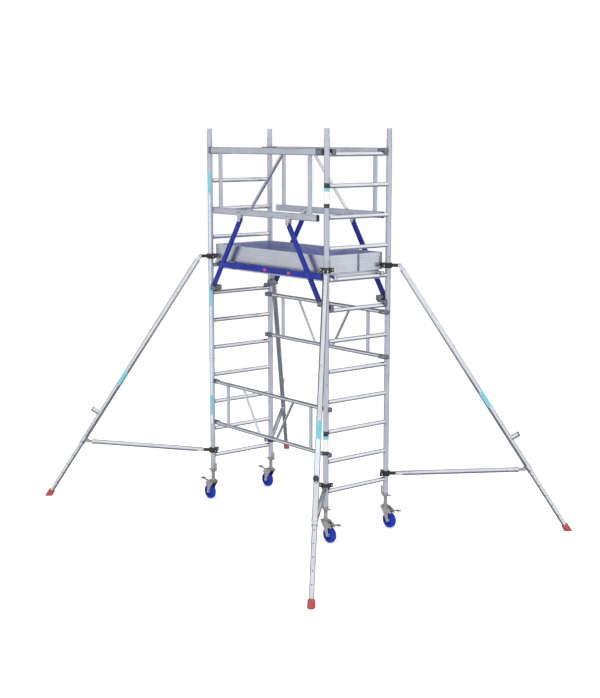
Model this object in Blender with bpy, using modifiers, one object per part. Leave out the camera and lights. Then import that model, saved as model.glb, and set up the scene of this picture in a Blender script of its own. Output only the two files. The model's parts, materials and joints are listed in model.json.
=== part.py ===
"""Mobile tower scaffold: two stacked ladder sides on adjustable casters, braces, a deck with a
hatch, toe boards, folding-leg guardrails and four telescopic stabilisers.

Metres, +Z up. The origin is on the floor at the tower's centre, +X runs along the deck.
"""

import math

import bmesh
import bpy
from mathutils import Matrix, Vector

# Tower
HALF_LENGTH = 0.900      # post axis to centre along X
HALF_WIDTH = 0.375       # post axis to centre along Y
GAP = 0.0004             # between parts that touch

# Ladder frames
FRAME_BASE = 0.330       # height of the lowest posts' feet
FRAME_HEIGHT = 1.120
RUNG_PITCH = 0.280
FIRST_RUNG = 0.140       # above the foot of each frame
RUNGS_PER_FRAME = 4
POST_R = 0.0254
POST_BORE_R = 0.0230
SPIGOT_R = 0.0224
SPIGOT_BORE_R = 0.0205
SPIGOT_LENGTH = 0.090
SPIGOT_ROOT = 0.060      # how far the spigot's bore starts below the shoulder
RUNG_R = 0.020
RUNG_BORE_R = 0.0178
BUSH_R = 0.0186          # guide bush in the lowest posts, round the spindle
BUSH_LENGTH = 0.030
TUBE_SIDES = 12
RUNG_SIDES = 8
RUNG_BORE_SIDES = 6
INSET = 0.0005           # keeps joined faces out of one plane

# Adjustable leg and caster
SPINDLE_R = 0.018
SPINDLE_BORE_R = 0.012
SPINDLE_BOTTOM = 0.2056
SPINDLE_TOP = 0.800
FLANGE_R = 0.030
FLANGE_T = 0.008
NUT_BOTTOM = 0.300
NUT_TOP = FRAME_BASE - 0.0006
NUT_R = 0.029
NUT_BORE_R = 0.0192
WING_REACH = 0.080
WING_HALF_W = 0.006
WING_T = 0.012
WING_LIFT = 0.006        # of the wing and the latch arm over the nut's foot
LATCH_REACH = 0.056
LATCH_HALF_W = 0.010
LATCH_T = 0.006
LATCH_TOP = 0.392
FORK_PLATE_BOTTOM = 0.197
FORK_PLATE_T = 0.008
FORK_PLATE_HALF = (0.042, 0.036)
STEM_R = 0.0105
STEM_TOP = 0.240
TRAIL = 0.058
WHEEL_R = 0.075
WHEEL_HALF_WIDTH = 0.025
WHEEL_CHAMFER = (0.006, 0.007)
WHEEL_STEPS = 24
WHEEL_BORE_R = 0.0068
AXLE_R = 0.006
CHEEK_INNER = 0.0285
CHEEK_T = 0.004
AXLE_END = 0.006         # how far the axle stands out of a cheek
CHEEK_LAP = 0.004        # of a cheek into the fork's plate
CHEEK_TOP = (-0.034, 0.040)
CHEEK_EYE = ((-0.014, -0.010), (0.012, -0.010), (0.018, 0.012))  # corners, from the axle
HOOD_FOOT = ((0.062, 0.147), (0.102, 0.147))
HOOD_CROWN = ((0.099, 0.160), (0.086, 0.177), (0.066, 0.190))
HOOD_T = 0.003
HOOD_SLOT = 0.014        # half width of the slot that the pedal's arm swings in
PEDAL_PIVOT = (0.030, 0.176)
PEDAL_BARREL = (0.0272, 0.006)  # half length and radius
PEDAL_ARM_HALF_W = 0.011
PEDAL_TREAD = ((0.158, 0.204), 0.021, (0.187, 0.199))

# Deck and toe boards
DECK_RUNG = 2.430
BEAM_Z = (2.400, 2.470)
BEAM_Y = (0.265, 0.305)
BEAM_END = 0.862
END_BEAM_W = 0.040
CROSS_BEAM_W = 0.034
CROSS_BEAM_X = 0.340     # start of the cross beam between the hatch and the right end
BEAM_WALL = 0.003
HOOK_T = 0.008           # of the deck's hooks, down the outside of a rung
PANEL_T = 0.010
PANEL_HALF = (0.850, 0.305)
HATCH_X = (-0.832, -0.198)
HATCH_HALF_Y = 0.275
HATCH_GAP = 0.003
GRIP_SLOT = ((-0.56, -0.47), (-0.245, -0.215))
BOARD_Z = (2.4815, 2.644)
BOARD_OUT = (0.860, 0.335)
BOARD_T = 0.018
BOARD_WALL = 0.0016
FLANGE_BOARD_T = 0.003   # of the boards' feet, which lie on the deck
FLANGE_BOARD_IN = (0.8365, 0.288)
FLANGE_BOARD_HALF = (0.800, 0.270)

# Guardrails
RAIL_Y = -0.395
RAIL_HALF_T = 0.0175
TOP_RAIL_Z = 3.570
KNEE_RAIL_Z = 2.982
RAIL_HALF_H = 0.031
RAIL_WALL = 0.0025
RAKER_RADII = (0.0150, 0.0128)
RAKER_SIDES = 10
RAKER_X = 0.275
KNEE_END = 0.803
UPRIGHT_X = 0.690
UPRIGHT_HALF = (0.019, 0.0125)
UPRIGHT_WALL = 0.002
STRUT_TOP = (0.375, 2.905)
STRUT_FOOT = (0.822, 2.235)
STRUT_HALF_W = 0.025
STRUT_HALF_T = 0.0125
STRUT_WALL = 0.002
CROSS_RAIL_Z = 2.456
CROSS_RAIL_HALF_H = 0.0275
CROSS_RAIL_X = (-0.725, 0.862)
TOP_CLAW_RUNG = 3.550
FOOT_CLAW_RUNG = 2.150
CLAW_FACE = 0.868        # claw faces stop short of the posts here
TOP_CLAW_Y = (-0.335, -0.290)
FOOT_CLAW_Y = (-0.345, -0.310)
CLAW_T = 0.028           # of a claw's hook over its rung
CLAW_LIP_T = 0.010
TOP_ARM_Z = (3.544, 3.595)
FOOT_BLOCK_Z = (2.185, 2.236)
RAKE_SHIFT = 0.040       # both guardrails' rakers sit this far towards +X

# Braces
BRACE_Y = -0.352
BRACE_Z = (0.815, 1.240)
BRACE_LIFT = 0.840       # the back brace hooks on three rungs higher
BRACE_R = 0.019
BRACE_UPRIGHT_X = 0.654
BRACE_UPRIGHT_R = 0.0165
BRACE_RAKER_R = 0.0125
BRACE_RAKER_X = (0.400, 0.130)
BRACE_WALL = 0.002
BRACE_CLAW_HALF_H = 0.0195
BRACE_CLAW_END_Y = -0.320
BRACE_LIP_T = 0.008
TOUCH = 0.0012           # between a claw and the post or rung behind it

# Stabilisers, in the vertical plane of each: r from the post's axis, z from the floor
CLAMP_BORE_R = 0.0264
CLAMP_R = 0.040
CLAMP_HALF_H = 0.025
CLAMP_SIDES = 16
LUG_ANGLE = 130
LUG_REACH = 0.078
LUG_HALF_W = 0.010
PIVOT_R = 0.110
TOP_PIVOT_Z = 2.520
LOW_PIVOT_Z = 0.525
ARM_HALF_W = 0.0125
ARM_EYE_R = 0.018
FORK_HALF = (0.0131, 0.0176)
FOOT_POINT = (1.720, 0.030)
LEG_R = 0.025
LEG_BORE_R = 0.0226
LEG_START = 0.045
LEG_END = 2.322
INNER_R = 0.0221
INNER_BORE_R = 0.0197
INNER_START = 0.880
FOOT_CAP = (2.905, 3.030)
FOOT_R = 0.033
PEG_AT = 1.950
PEG_REACH = 0.100
EAR_AT = 2.270
EAR_OFFSET = 0.045
EAR_HALF = (0.0056, 0.0106)
STRUT_R = 0.0225
STRUT_BORE_R = 0.0203

CORNERS = {  # sign of X, sign of Y, direction of the stabiliser in degrees
    "front_left": (-1, -1, 226.1),
    "front_right": (1, -1, -43.9),
    "back_right": (1, 1, 46.1),
    "back_left": (-1, 1, 136.1),
}

COLOURS = {  # colour, roughness, metallic
    "post_aluminium": ((0.62, 0.64, 0.70), 0.42, 0.85),
    "rung_aluminium": ((0.78, 0.79, 0.82), 0.30, 0.95),
    "board_aluminium": ((0.66, 0.69, 0.78), 0.38, 0.80),
    "zinc_steel": ((0.52, 0.50, 0.46), 0.45, 0.90),
    "blue_paint": ((0.018, 0.030, 0.330), 0.38, 0.00),
    "blue_wheel": ((0.020, 0.040, 0.420), 0.40, 0.00),
    "deck_blue": ((0.060, 0.110, 0.420), 0.60, 0.00),
    "clamp_black": ((0.018, 0.018, 0.020), 0.45, 0.00),
    "pedal_grey": ((0.300, 0.290, 0.270), 0.50, 0.60),
}


def clear_scene():
    for obj in list(bpy.data.objects):
        bpy.data.objects.remove(obj, do_unlink=True)


def new_collection(name, hidden=False):
    collection = bpy.data.collections.new(name)
    bpy.context.scene.collection.children.link(collection)
    collection.hide_render = hidden
    return collection


def make_material(name):
    colour, roughness, metallic = COLOURS[name]
    material = bpy.data.materials.new(name)
    material.use_nodes = True
    shader = material.node_tree.nodes["Principled BSDF"]
    shader.inputs["Base Color"].default_value = (*colour, 1.0)
    shader.inputs["Roughness"].default_value = roughness
    shader.inputs["Metallic"].default_value = metallic
    return material


def mesh_from(name, build):
    mesh = bpy.data.meshes.new(name)
    shape = bmesh.new()
    build(shape)
    shape.to_mesh(mesh)
    shape.free()
    return mesh


def box(x, y, z, matrix=None):
    """A block between three (low, high) pairs, then moved by the matrix."""
    size = Matrix.Diagonal((x[1] - x[0], y[1] - y[0], z[1] - z[0], 1.0))
    centre = Matrix.Translation(((x[0] + x[1]) / 2, (y[0] + y[1]) / 2, (z[0] + z[1]) / 2))
    place = (matrix or Matrix.Identity(4)) @ centre @ size
    return mesh_from("block", lambda shape: bmesh.ops.create_cube(shape, size=1.0, matrix=place))


def rod(start, end, radius, sides=TUBE_SIDES, matrix=None):
    """A round bar between two points."""
    start, end = Vector(start), Vector(end)
    along = end - start
    turn = along.to_track_quat("Z", "Y").to_matrix().to_4x4()
    place = (matrix or Matrix.Identity(4)) @ Matrix.Translation((start + end) / 2) @ turn

    def build(shape):
        bmesh.ops.create_cone(shape, cap_ends=True, segments=sides, radius1=radius,
                              radius2=radius, depth=along.length, matrix=place)

    return mesh_from("bar", build)


def plate(outline, y):
    """A flat outline in X and Z, as thick as the pair y says."""
    curve = bpy.data.curves.new("outline", "CURVE")
    curve.dimensions = "2D"
    curve.fill_mode = "BOTH"
    curve.extrude = (y[1] - y[0]) / 2
    spline = curve.splines.new("POLY")
    spline.points.add(len(outline) - 1)
    for point, (x, z) in zip(spline.points, outline):
        point.co = (x, z, 0.0, 1.0)
    spline.use_cyclic_u = True
    guide = bpy.data.objects.new("outline", curve)
    cutters.objects.link(guide)
    bpy.context.view_layer.update()
    mesh = bpy.data.meshes.new_from_object(guide.evaluated_get(bpy.context.evaluated_depsgraph_get()))
    bpy.data.objects.remove(guide)
    shape = bmesh.new()
    shape.from_mesh(mesh)
    bmesh.ops.remove_doubles(shape, verts=shape.verts, dist=1e-5)
    stand_up = Matrix.Translation((0, (y[0] + y[1]) / 2, 0)) @ Matrix.Rotation(math.pi / 2, 4, "X")
    bmesh.ops.transform(shape, matrix=stand_up, verts=shape.verts)
    bmesh.ops.recalc_face_normals(shape, faces=shape.faces)
    shape.to_mesh(mesh)
    shape.free()
    return mesh


def evaluated(obj):
    bpy.context.view_layer.update()
    graph = bpy.context.evaluated_depsgraph_get()
    return bpy.data.meshes.new_from_object(obj.evaluated_get(graph))


def combine(base, others, operation):
    """The base mesh joined with, or cut by, all the other meshes."""
    if not others:
        return base
    body = bpy.data.objects.new("body", base)
    cutters.objects.link(body)
    tools = bpy.data.collections.new("tools")
    for mesh in others:
        tool = bpy.data.objects.new("tool", mesh)
        tools.objects.link(tool)
    cutters.children.link(tools)
    boolean = body.modifiers.new("combine", "BOOLEAN")
    boolean.operation = operation
    boolean.operand_type = "COLLECTION"
    boolean.collection = tools
    boolean.solver = "EXACT"
    result = evaluated(body)
    for tool in list(tools.objects):
        bpy.data.objects.remove(tool)
    bpy.data.collections.remove(tools)
    bpy.data.objects.remove(body)
    return result


def solid(adds, cuts=(), late_adds=()):
    """One body: the adds joined, then cut, then joined with the late adds."""
    mesh = combine(adds[0], list(adds[1:]), "UNION")
    mesh = combine(mesh, list(cuts), "DIFFERENCE")
    return combine(mesh, list(late_adds), "UNION")


def place(name, mesh, material, matrix=None):
    obj = bpy.data.objects.new(name, mesh)
    obj.matrix_world = matrix or Matrix.Identity(4)
    mesh.materials.clear()
    mesh.materials.append(material)
    mesh.shade_smooth()
    mesh.set_sharp_from_angle(angle=math.radians(35))
    tower.objects.link(obj)
    return obj


def both_signs(pair, sign):
    """The pair on the side that the sign says, low end first."""
    return tuple(sorted((pair[0] * sign, pair[1] * sign)))


def along_line(start, end):
    """A frame whose Z runs from start to end, two points in X and Z, and whose Y stays level."""
    start, end = Vector((start[0], 0, start[1])), Vector((end[0], 0, end[1]))
    along = (end - start).normalized()
    level = Vector((0, 1, 0))
    outward = level.cross(along)
    turn = Matrix((outward, level, along)).transposed().to_4x4()
    return Matrix.Translation(start) @ turn


# Ladder frames

def frame_mesh(with_bush):
    top = FRAME_HEIGHT - GAP
    adds, cuts = [], []
    for side in (-1, 1):
        y = side * HALF_WIDTH
        adds.append(rod((0, y, 0), (0, y, top), POST_R))
        adds.append(rod((0, y, top - SPIGOT_ROOT), (0, y, top + SPIGOT_LENGTH), SPIGOT_R))
        bore_start = BUSH_LENGTH if with_bush else -0.01
        cuts.append(rod((0, y, bore_start), (0, y, top - SPIGOT_ROOT), POST_BORE_R))
        cuts.append(rod((0, y, top - SPIGOT_ROOT - 0.01), (0, y, top + 0.2), SPIGOT_BORE_R))
        if with_bush:
            cuts.append(rod((0, y, -0.01), (0, y, BUSH_LENGTH + 0.01), BUSH_R))
    for rung in range(RUNGS_PER_FRAME):
        z = FIRST_RUNG + rung * RUNG_PITCH
        ends = (0, -HALF_WIDTH, z), (0, HALF_WIDTH, z)
        adds.append(rod(*ends, RUNG_R, RUNG_SIDES))
        cuts.append(rod(*ends, RUNG_BORE_R, RUNG_BORE_SIDES))
    return solid(adds, cuts)


def add_frames():
    lowest, others = frame_mesh(True), frame_mesh(False)
    for side, x in (("left", -HALF_LENGTH), ("right", HALF_LENGTH)):
        for level, name in enumerate(("lower", "middle", "upper")):
            mesh = others if level else lowest
            at = Matrix.Translation((x, 0, FRAME_BASE + level * FRAME_HEIGHT))
            place(f"{side}_{name}_frame", mesh, paint["post_aluminium"], at)


# Adjustable legs and casters, with X pointing out of the tower and the origin under the post

def spindle_mesh():
    shaft = rod((0, 0, SPINDLE_BOTTOM), (0, 0, SPINDLE_TOP), SPINDLE_R)
    flange = rod((0, 0, SPINDLE_BOTTOM), (0, 0, SPINDLE_BOTTOM + FLANGE_T), FLANGE_R)
    bore = rod((0, 0, SPINDLE_BOTTOM - 0.01), (0, 0, SPINDLE_TOP + 0.01), SPINDLE_BORE_R)
    return solid([shaft, flange], [bore])


def nut_mesh():
    collar = rod((0, 0, NUT_BOTTOM), (0, 0, NUT_TOP), NUT_R)
    wing_z = (NUT_BOTTOM + WING_LIFT, NUT_BOTTOM + WING_LIFT + WING_T)
    latch_y = (-LATCH_HALF_W, LATCH_HALF_W)
    handle = box((0.02, WING_REACH), (-WING_HALF_W, WING_HALF_W), wing_z)
    latch_arm = box((-LATCH_REACH, -0.02), latch_y, wing_z)
    latch = box((-LATCH_REACH, LATCH_T - LATCH_REACH), latch_y, (wing_z[0], LATCH_TOP))
    bore = rod((0, 0, NUT_BOTTOM - 0.01), (0, 0, NUT_TOP + 0.01), NUT_BORE_R)
    return solid([collar, handle, latch_arm, latch], [bore])


def fork_mesh():
    low, high = FORK_PLATE_BOTTOM, FORK_PLATE_BOTTOM + FORK_PLATE_T
    half_x, half_y = FORK_PLATE_HALF
    adds = [box((-half_x, half_x), (-half_y, half_y), (low, high))]
    adds.append(rod((0, 0, low + 0.002), (0, 0, STEM_TOP), STEM_R))
    back, front = ((x, low + CHEEK_LAP) for x in CHEEK_TOP)
    eye = [(TRAIL + x, WHEEL_R + z) for x, z in CHEEK_EYE]
    cheek = [back, *eye, *HOOD_FOOT, *HOOD_CROWN, front]
    crown = [HOOD_FOOT[1], *HOOD_CROWN, front]
    hood = crown + [(x - HOOD_T, z - HOOD_T) for x, z in reversed(crown)]
    for side in (-1, 1):
        adds.append(plate(cheek, both_signs((CHEEK_INNER, CHEEK_INNER + CHEEK_T), side)))
        adds.append(plate(hood, both_signs((HOOD_SLOT, CHEEK_INNER + INSET), side)))
    reach = CHEEK_INNER + CHEEK_T + AXLE_END
    adds.append(rod((TRAIL, -reach, WHEEL_R), (TRAIL, reach, WHEEL_R), AXLE_R))
    return solid(adds)


def wheel_mesh():
    """A turned disc whose flats, not its corners, are WHEEL_R from the axle."""
    rim = WHEEL_R / math.cos(math.pi / WHEEL_STEPS)
    w = WHEEL_HALF_WIDTH
    down, across = WHEEL_CHAMFER
    profile = [(WHEEL_BORE_R, w), (rim - down, w), (rim, w - across), (rim, across - w),
               (rim - down, -w), (WHEEL_BORE_R, -w)]

    def build(shape):
        points = [shape.verts.new((r, 0.0, z)) for r, z in profile]
        for start, end in zip(points, points[1:] + points[:1]):
            shape.edges.new((start, end))

    turned = bpy.data.objects.new("turned", mesh_from("profile", build))
    cutters.objects.link(turned)
    screw = turned.modifiers.new("turn", "SCREW")
    screw.steps = screw.render_steps = WHEEL_STEPS
    screw.use_merge_vertices = True
    screw.merge_threshold = 1e-5
    screw.use_normal_calculate = True
    mesh = evaluated(turned)
    bpy.data.objects.remove(turned)
    half_step = Matrix.Rotation(math.pi / WHEEL_STEPS, 4, "Z")
    mesh.transform(Matrix.Translation((TRAIL, 0, WHEEL_R)) @ Matrix.Rotation(math.pi / 2, 4, "X") @ half_step)
    return mesh


def pedal_mesh():
    x, z = PEDAL_PIVOT
    half_length, radius = PEDAL_BARREL
    barrel = rod((x, -half_length, z), (x, half_length, z), radius)
    outline = [(x, z - 0.004), (0.150, 0.182), (0.200, 0.190), (0.200, 0.195), (0.148, 0.188), (x, z + 0.004)]
    arm = plate(outline, (-PEDAL_ARM_HALF_W, PEDAL_ARM_HALF_W))
    tread_x, tread_half_w, tread_z = PEDAL_TREAD
    tread = box(tread_x, (-tread_half_w, tread_half_w), tread_z)
    return solid([barrel, arm, tread])


def add_legs():
    pieces = {
        "leg_spindle": (spindle_mesh(), "zinc_steel"),
        "adjusting_nut": (nut_mesh(), "zinc_steel"),
        "caster_fork": (fork_mesh(), "zinc_steel"),
        "caster_wheel": (wheel_mesh(), "blue_wheel"),
        "brake_pedal": (pedal_mesh(), "pedal_grey"),
    }
    for corner, (sign_x, sign_y, _) in CORNERS.items():
        turn = Matrix.Rotation(0 if sign_x > 0 else math.pi, 4, "Z")
        at = Matrix.Translation((sign_x * HALF_LENGTH, sign_y * HALF_WIDTH, 0)) @ turn
        for piece, (mesh, colour) in pieces.items():
            place(f"{corner}_{piece}", mesh, paint[colour], at)


# Deck, hatch and toe boards

def add_deck():
    adds, cuts = [], []
    wall = BEAM_WALL
    for side in (-1, 1):
        y = both_signs(BEAM_Y, side)
        adds.append(box((-BEAM_END, BEAM_END), y, BEAM_Z))
        cuts.append(box((-BEAM_END + 0.01, BEAM_END - 0.01), (y[0] + wall, y[1] - wall),
                        (BEAM_Z[0] - 0.01, BEAM_Z[1] - wall)))
    end_inner = BEAM_END - END_BEAM_W
    hatch_beam = HATCH_X[1] + 0.012 - CROSS_BEAM_W
    for low in (-BEAM_END, end_inner, hatch_beam, CROSS_BEAM_X):
        width = CROSS_BEAM_W if low in (hatch_beam, CROSS_BEAM_X) else END_BEAM_W
        x = (low, low + width)
        adds.append(box(x, (-BEAM_Y[0] - 0.002, BEAM_Y[0] + 0.002), BEAM_Z))
        cuts.append(box((x[0] + wall, x[1] - wall), (-BEAM_Y[0] + 0.01, BEAM_Y[0] - 0.01),
                        (BEAM_Z[0] - 0.01, BEAM_Z[1] - wall)))
    hooks = []
    rung_top = DECK_RUNG + RUNG_R + GAP
    lip = HALF_LENGTH + RUNG_R + TOUCH
    for end in (-1, 1):
        for side in (-1, 1):
            y = both_signs(BEAM_Y, side)
            hooks.append(box(both_signs((BEAM_END - 0.02, lip + HOOK_T), end), y, (rung_top, BEAM_Z[1])))
            hooks.append(box(both_signs((lip, lip + HOOK_T), end), y, (DECK_RUNG - 0.008, BEAM_Z[1] - 0.001)))
    place("deck_frame", solid(adds, cuts, hooks), paint["board_aluminium"])

    low, high = BEAM_Z[1] + GAP, BEAM_Z[1] + GAP + PANEL_T
    sheet = box((-PANEL_HALF[0], PANEL_HALF[0]), (-PANEL_HALF[1], PANEL_HALF[1]), (low, high))
    gap = HATCH_GAP
    hole = box((HATCH_X[0] - gap, HATCH_X[1] + gap), (-HATCH_HALF_Y - gap, HATCH_HALF_Y + gap),
               (low - 0.01, high + 0.01))
    place("deck_panel", solid([sheet], [hole]), paint["deck_blue"])
    lid = box(HATCH_X, (-HATCH_HALF_Y, HATCH_HALF_Y), (low, high))
    grip = box(*GRIP_SLOT, (low - 0.01, high + 0.01))
    place("hatch", solid([lid], [grip]), paint["deck_blue"])


def add_toe_boards():
    low, high = BOARD_Z
    out_x, out_y = BOARD_OUT
    flange_z = (low + INSET, low + INSET + FLANGE_BOARD_T)
    flange_in_x, flange_in_y = FLANGE_BOARD_IN
    flange_half_x, flange_half_y = FLANGE_BOARD_HALF
    for name, side in (("front", -1), ("back", 1)):
        thick = both_signs((out_y - BOARD_T, out_y), side)
        wall = hollow_box((-out_x, out_x), thick, (low, high), BOARD_WALL)
        flange_y = both_signs((flange_in_y, out_y - BOARD_T + INSET), side)
        flange = box((-flange_half_x, flange_half_x), flange_y, flange_z)
        place(f"{name}_toe_board", solid([wall[0], flange], [wall[1]]), paint["board_aluminium"])
    half_y = out_y - BOARD_T - GAP
    for name, side in (("left", -1), ("right", 1)):
        thick = both_signs((out_x - BOARD_T, out_x), side)
        wall = hollow_box(thick, (-half_y, half_y), (low, high), BOARD_WALL)
        flange_x = both_signs((flange_in_x, out_x - BOARD_T + INSET), side)
        flange = box(flange_x, (-flange_half_y, flange_half_y), flange_z)
        place(f"{name}_toe_board", solid([wall[0], flange], [wall[1]]), paint["board_aluminium"])


# Guardrails, drawn for the front; the back one is turned half a turn about Z

def hook_over_rung(side, inner_x, rung_z, y):
    """A claw's flat hook on a rung, with a lip down the rung's outer side."""
    low = rung_z + RUNG_R + GAP
    lip = HALF_LENGTH + RUNG_R + TOUCH
    return [box(both_signs((inner_x, lip + CLAW_LIP_T), side), y, (low, low + CLAW_T)),
            box(both_signs((lip, lip + CLAW_LIP_T - INSET), side), (y[0] + INSET, y[1] - INSET),
                (rung_z - 0.006, low + CLAW_T - 0.001))]


def hollow_box(x, y, z, wall, matrix=None):
    """The outer block of a square tube along its longest side, and the cutter for its bore."""
    spans = [x, y, z]
    longest = max(range(3), key=lambda axis: spans[axis][1] - spans[axis][0])
    inner = [(low - 0.002, high + 0.002) if axis == longest else (low + wall, high - wall)
             for axis, (low, high) in enumerate(spans)]
    return box(x, y, z, matrix), box(*inner, matrix)


def guardrail_mesh(raker_shift):
    y = (RAIL_Y - RAIL_HALF_T, RAIL_Y + RAIL_HALF_T)
    rail_z = (TOP_RAIL_Z - RAIL_HALF_H, TOP_RAIL_Z + RAIL_HALF_H)
    knee_z = (KNEE_RAIL_Z - RAIL_HALF_H, KNEE_RAIL_Z + RAIL_HALF_H)
    top = hollow_box((-CLAW_FACE, CLAW_FACE), y, rail_z, RAIL_WALL)
    knee = hollow_box((-KNEE_END, KNEE_END), y, knee_z, RAIL_WALL)
    adds, cuts = [top[0], knee[0]], [top[1], knee[1]]
    between = (KNEE_RAIL_Z + 0.005, TOP_RAIL_Z - 0.005)
    for side in (-1, 1):
        x = (side * UPRIGHT_X - UPRIGHT_HALF[0], side * UPRIGHT_X + UPRIGHT_HALF[0])
        upright_y = (RAIL_Y - UPRIGHT_HALF[1], RAIL_Y + UPRIGHT_HALF[1])
        upright = hollow_box(x, upright_y, between, UPRIGHT_WALL)
        adds.append(upright[0])
        cuts.append(upright[1])
    ends = (RAKER_X + raker_shift, RAIL_Y, TOP_RAIL_Z), (-RAKER_X + raker_shift, RAIL_Y, KNEE_RAIL_Z)
    outer, inner = RAKER_RADII
    adds.append(rod(*ends, outer, RAKER_SIDES))
    cuts.append(rod(*ends, inner, RAKER_SIDES))
    late = []
    for side in (-1, 1):
        arm = both_signs((CLAW_FACE - 0.040, CLAW_FACE - INSET), side)
        late.append(box(arm, (y[1] - 0.004, TOP_CLAW_Y[1] - INSET), TOP_ARM_Z))
        late += hook_over_rung(side, CLAW_FACE - 0.030, TOP_CLAW_RUNG, TOP_CLAW_Y)
        x = (side * STRUT_TOP[0] - 0.018, side * STRUT_TOP[0] + 0.018)
        for cheek in (-1, 1):
            thick = both_signs((STRUT_HALF_T + 0.0005, RAIL_HALF_T), cheek)
            thick = (RAIL_Y + thick[0], RAIL_Y + thick[1])
            late.append(box(x, thick, (STRUT_TOP[1] - 0.016, knee_z[0] + 0.004)))
    return solid(adds, cuts, late)


def guardrail_legs_mesh():
    adds, cuts, late = [], [], []
    y = (RAIL_Y - STRUT_HALF_T, RAIL_Y + STRUT_HALF_T)
    inset_y = (y[0] + INSET, y[1] - INSET)
    width = (-STRUT_HALF_W, STRUT_HALF_W)
    for side in (-1, 1):
        foot, top = (side * STRUT_FOOT[0], STRUT_FOOT[1]), (side * STRUT_TOP[0], STRUT_TOP[1])
        length = math.hypot(top[0] - foot[0], top[1] - foot[1])
        tilt = along_line(foot, top)
        strut = hollow_box(width, y, (0, length - 0.012), STRUT_WALL, tilt)
        adds.append(strut[0])
        cuts.append(strut[1])
        late.append(box((-0.014, 0.014), inset_y, (length - 0.040, length + 0.012), tilt))
        late.append(box((width[0] + INSET, width[1] - INSET), inset_y, (-0.004, 0.018), tilt))
        block_y = (inset_y[0] + INSET, FOOT_CLAW_Y[1] - INSET)
        late.append(box(both_signs((CLAW_FACE - 0.062, CLAW_FACE), side), block_y, FOOT_BLOCK_Z))
        late += hook_over_rung(side, CLAW_FACE - 0.045, FOOT_CLAW_RUNG, FOOT_CLAW_Y)
    rail_z = (CROSS_RAIL_Z - CROSS_RAIL_HALF_H, CROSS_RAIL_Z + CROSS_RAIL_HALF_H)
    rail = hollow_box(CROSS_RAIL_X, inset_y, rail_z, STRUT_WALL)
    adds.append(rail[0])
    cuts.append(rail[1])
    return solid(adds, cuts, late)


def add_guardrails():
    legs = guardrail_legs_mesh()
    for name, turn, shift in (("front", 0, RAKE_SHIFT), ("back", math.pi, -RAKE_SHIFT)):
        at = Matrix.Rotation(turn, 4, "Z")
        place(f"{name}_guardrail", guardrail_mesh(shift), paint["post_aluminium"], at)
        place(f"{name}_guardrail_legs", legs, paint["blue_paint"], at)


# Braces, drawn for the front

def brace_mesh():
    adds, cuts, late = [], [], []
    reach = CLAW_FACE - 0.002
    for z in BRACE_Z:
        ends = (-reach, BRACE_Y, z), (reach, BRACE_Y, z)
        adds.append(rod(*ends, BRACE_R))
        cuts.append(rod((-reach - 0.01, BRACE_Y, z), (reach + 0.01, BRACE_Y, z), BRACE_R - BRACE_WALL))
    low, high = BRACE_Z
    for side in (-1, 1):
        x = side * BRACE_UPRIGHT_X
        top, foot = side * BRACE_RAKER_X[0], side * BRACE_RAKER_X[1]
        for foot_x, top_x, radius in ((x, x, BRACE_UPRIGHT_R), (foot, top, BRACE_RAKER_R)):
            ends = (foot_x, BRACE_Y, low), (top_x, BRACE_Y, high)
            adds.append(rod(*ends, radius, RUNG_SIDES))
            cuts.append(rod(*ends, radius - BRACE_WALL, RUNG_BORE_SIDES))
        post_y = -HALF_WIDTH + POST_R + TOUCH
        lip = HALF_LENGTH + POST_R + TOUCH
        for z in BRACE_Z:
            claw_z = (z - BRACE_CLAW_HALF_H, z + BRACE_CLAW_HALF_H)
            lip_z = (claw_z[0] + INSET, claw_z[1] - INSET)
            lip_y = (-HALF_WIDTH + 0.002, BRACE_CLAW_END_Y - INSET)
            arm_x = both_signs((reach - 0.030, lip + BRACE_LIP_T), side)
            late.append(box(arm_x, (post_y, BRACE_CLAW_END_Y), claw_z))
            late.append(box(both_signs((lip, lip + BRACE_LIP_T - INSET), side), lip_y, lip_z))
    return solid(adds, cuts, late)


def add_braces():
    mesh = brace_mesh()
    place("front_brace", mesh, paint["post_aluminium"])
    turned = Matrix.Translation((0, 0, BRACE_LIFT)) @ Matrix.Rotation(math.pi, 4, "Z")
    place("back_brace", mesh, paint["post_aluminium"], turned)


# Stabilisers, with X pointing away from the post

def clamp_mesh():
    """A post clamp about the height 0, with its arm along X and two bolt lugs behind."""
    half = CLAMP_HALF_H
    ring = rod((0, 0, -half), (0, 0, half), CLAMP_R, CLAMP_SIDES)
    arm = box((0.030, PIVOT_R), (-ARM_HALF_W, ARM_HALF_W), (-0.015, 0.015))
    eye_half_w = ARM_HALF_W - INSET
    eye = rod((PIVOT_R, -eye_half_w, 0), (PIVOT_R, eye_half_w, 0), ARM_EYE_R)
    adds = [ring, arm, eye]
    for side in (-1, 1):
        turn = Matrix.Rotation(math.radians(side * LUG_ANGLE), 4, "Z")
        adds.append(box((0.030, LUG_REACH), (-LUG_HALF_W, LUG_HALF_W), (-0.020, 0.020), turn))
    bore = rod((0, 0, -half - 0.01), (0, 0, half + 0.01), CLAMP_BORE_R, CLAMP_SIDES)
    return solid(adds, [bore])


def fork_cheeks(at):
    """Two cheeks either side of a clamp's eye, on the end of a tube."""
    width, length = (-0.018, 0.018), (-0.018, LEG_START + 0.010)
    return [box(width, both_signs(FORK_HALF, side), length, at) for side in (-1, 1)]


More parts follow.
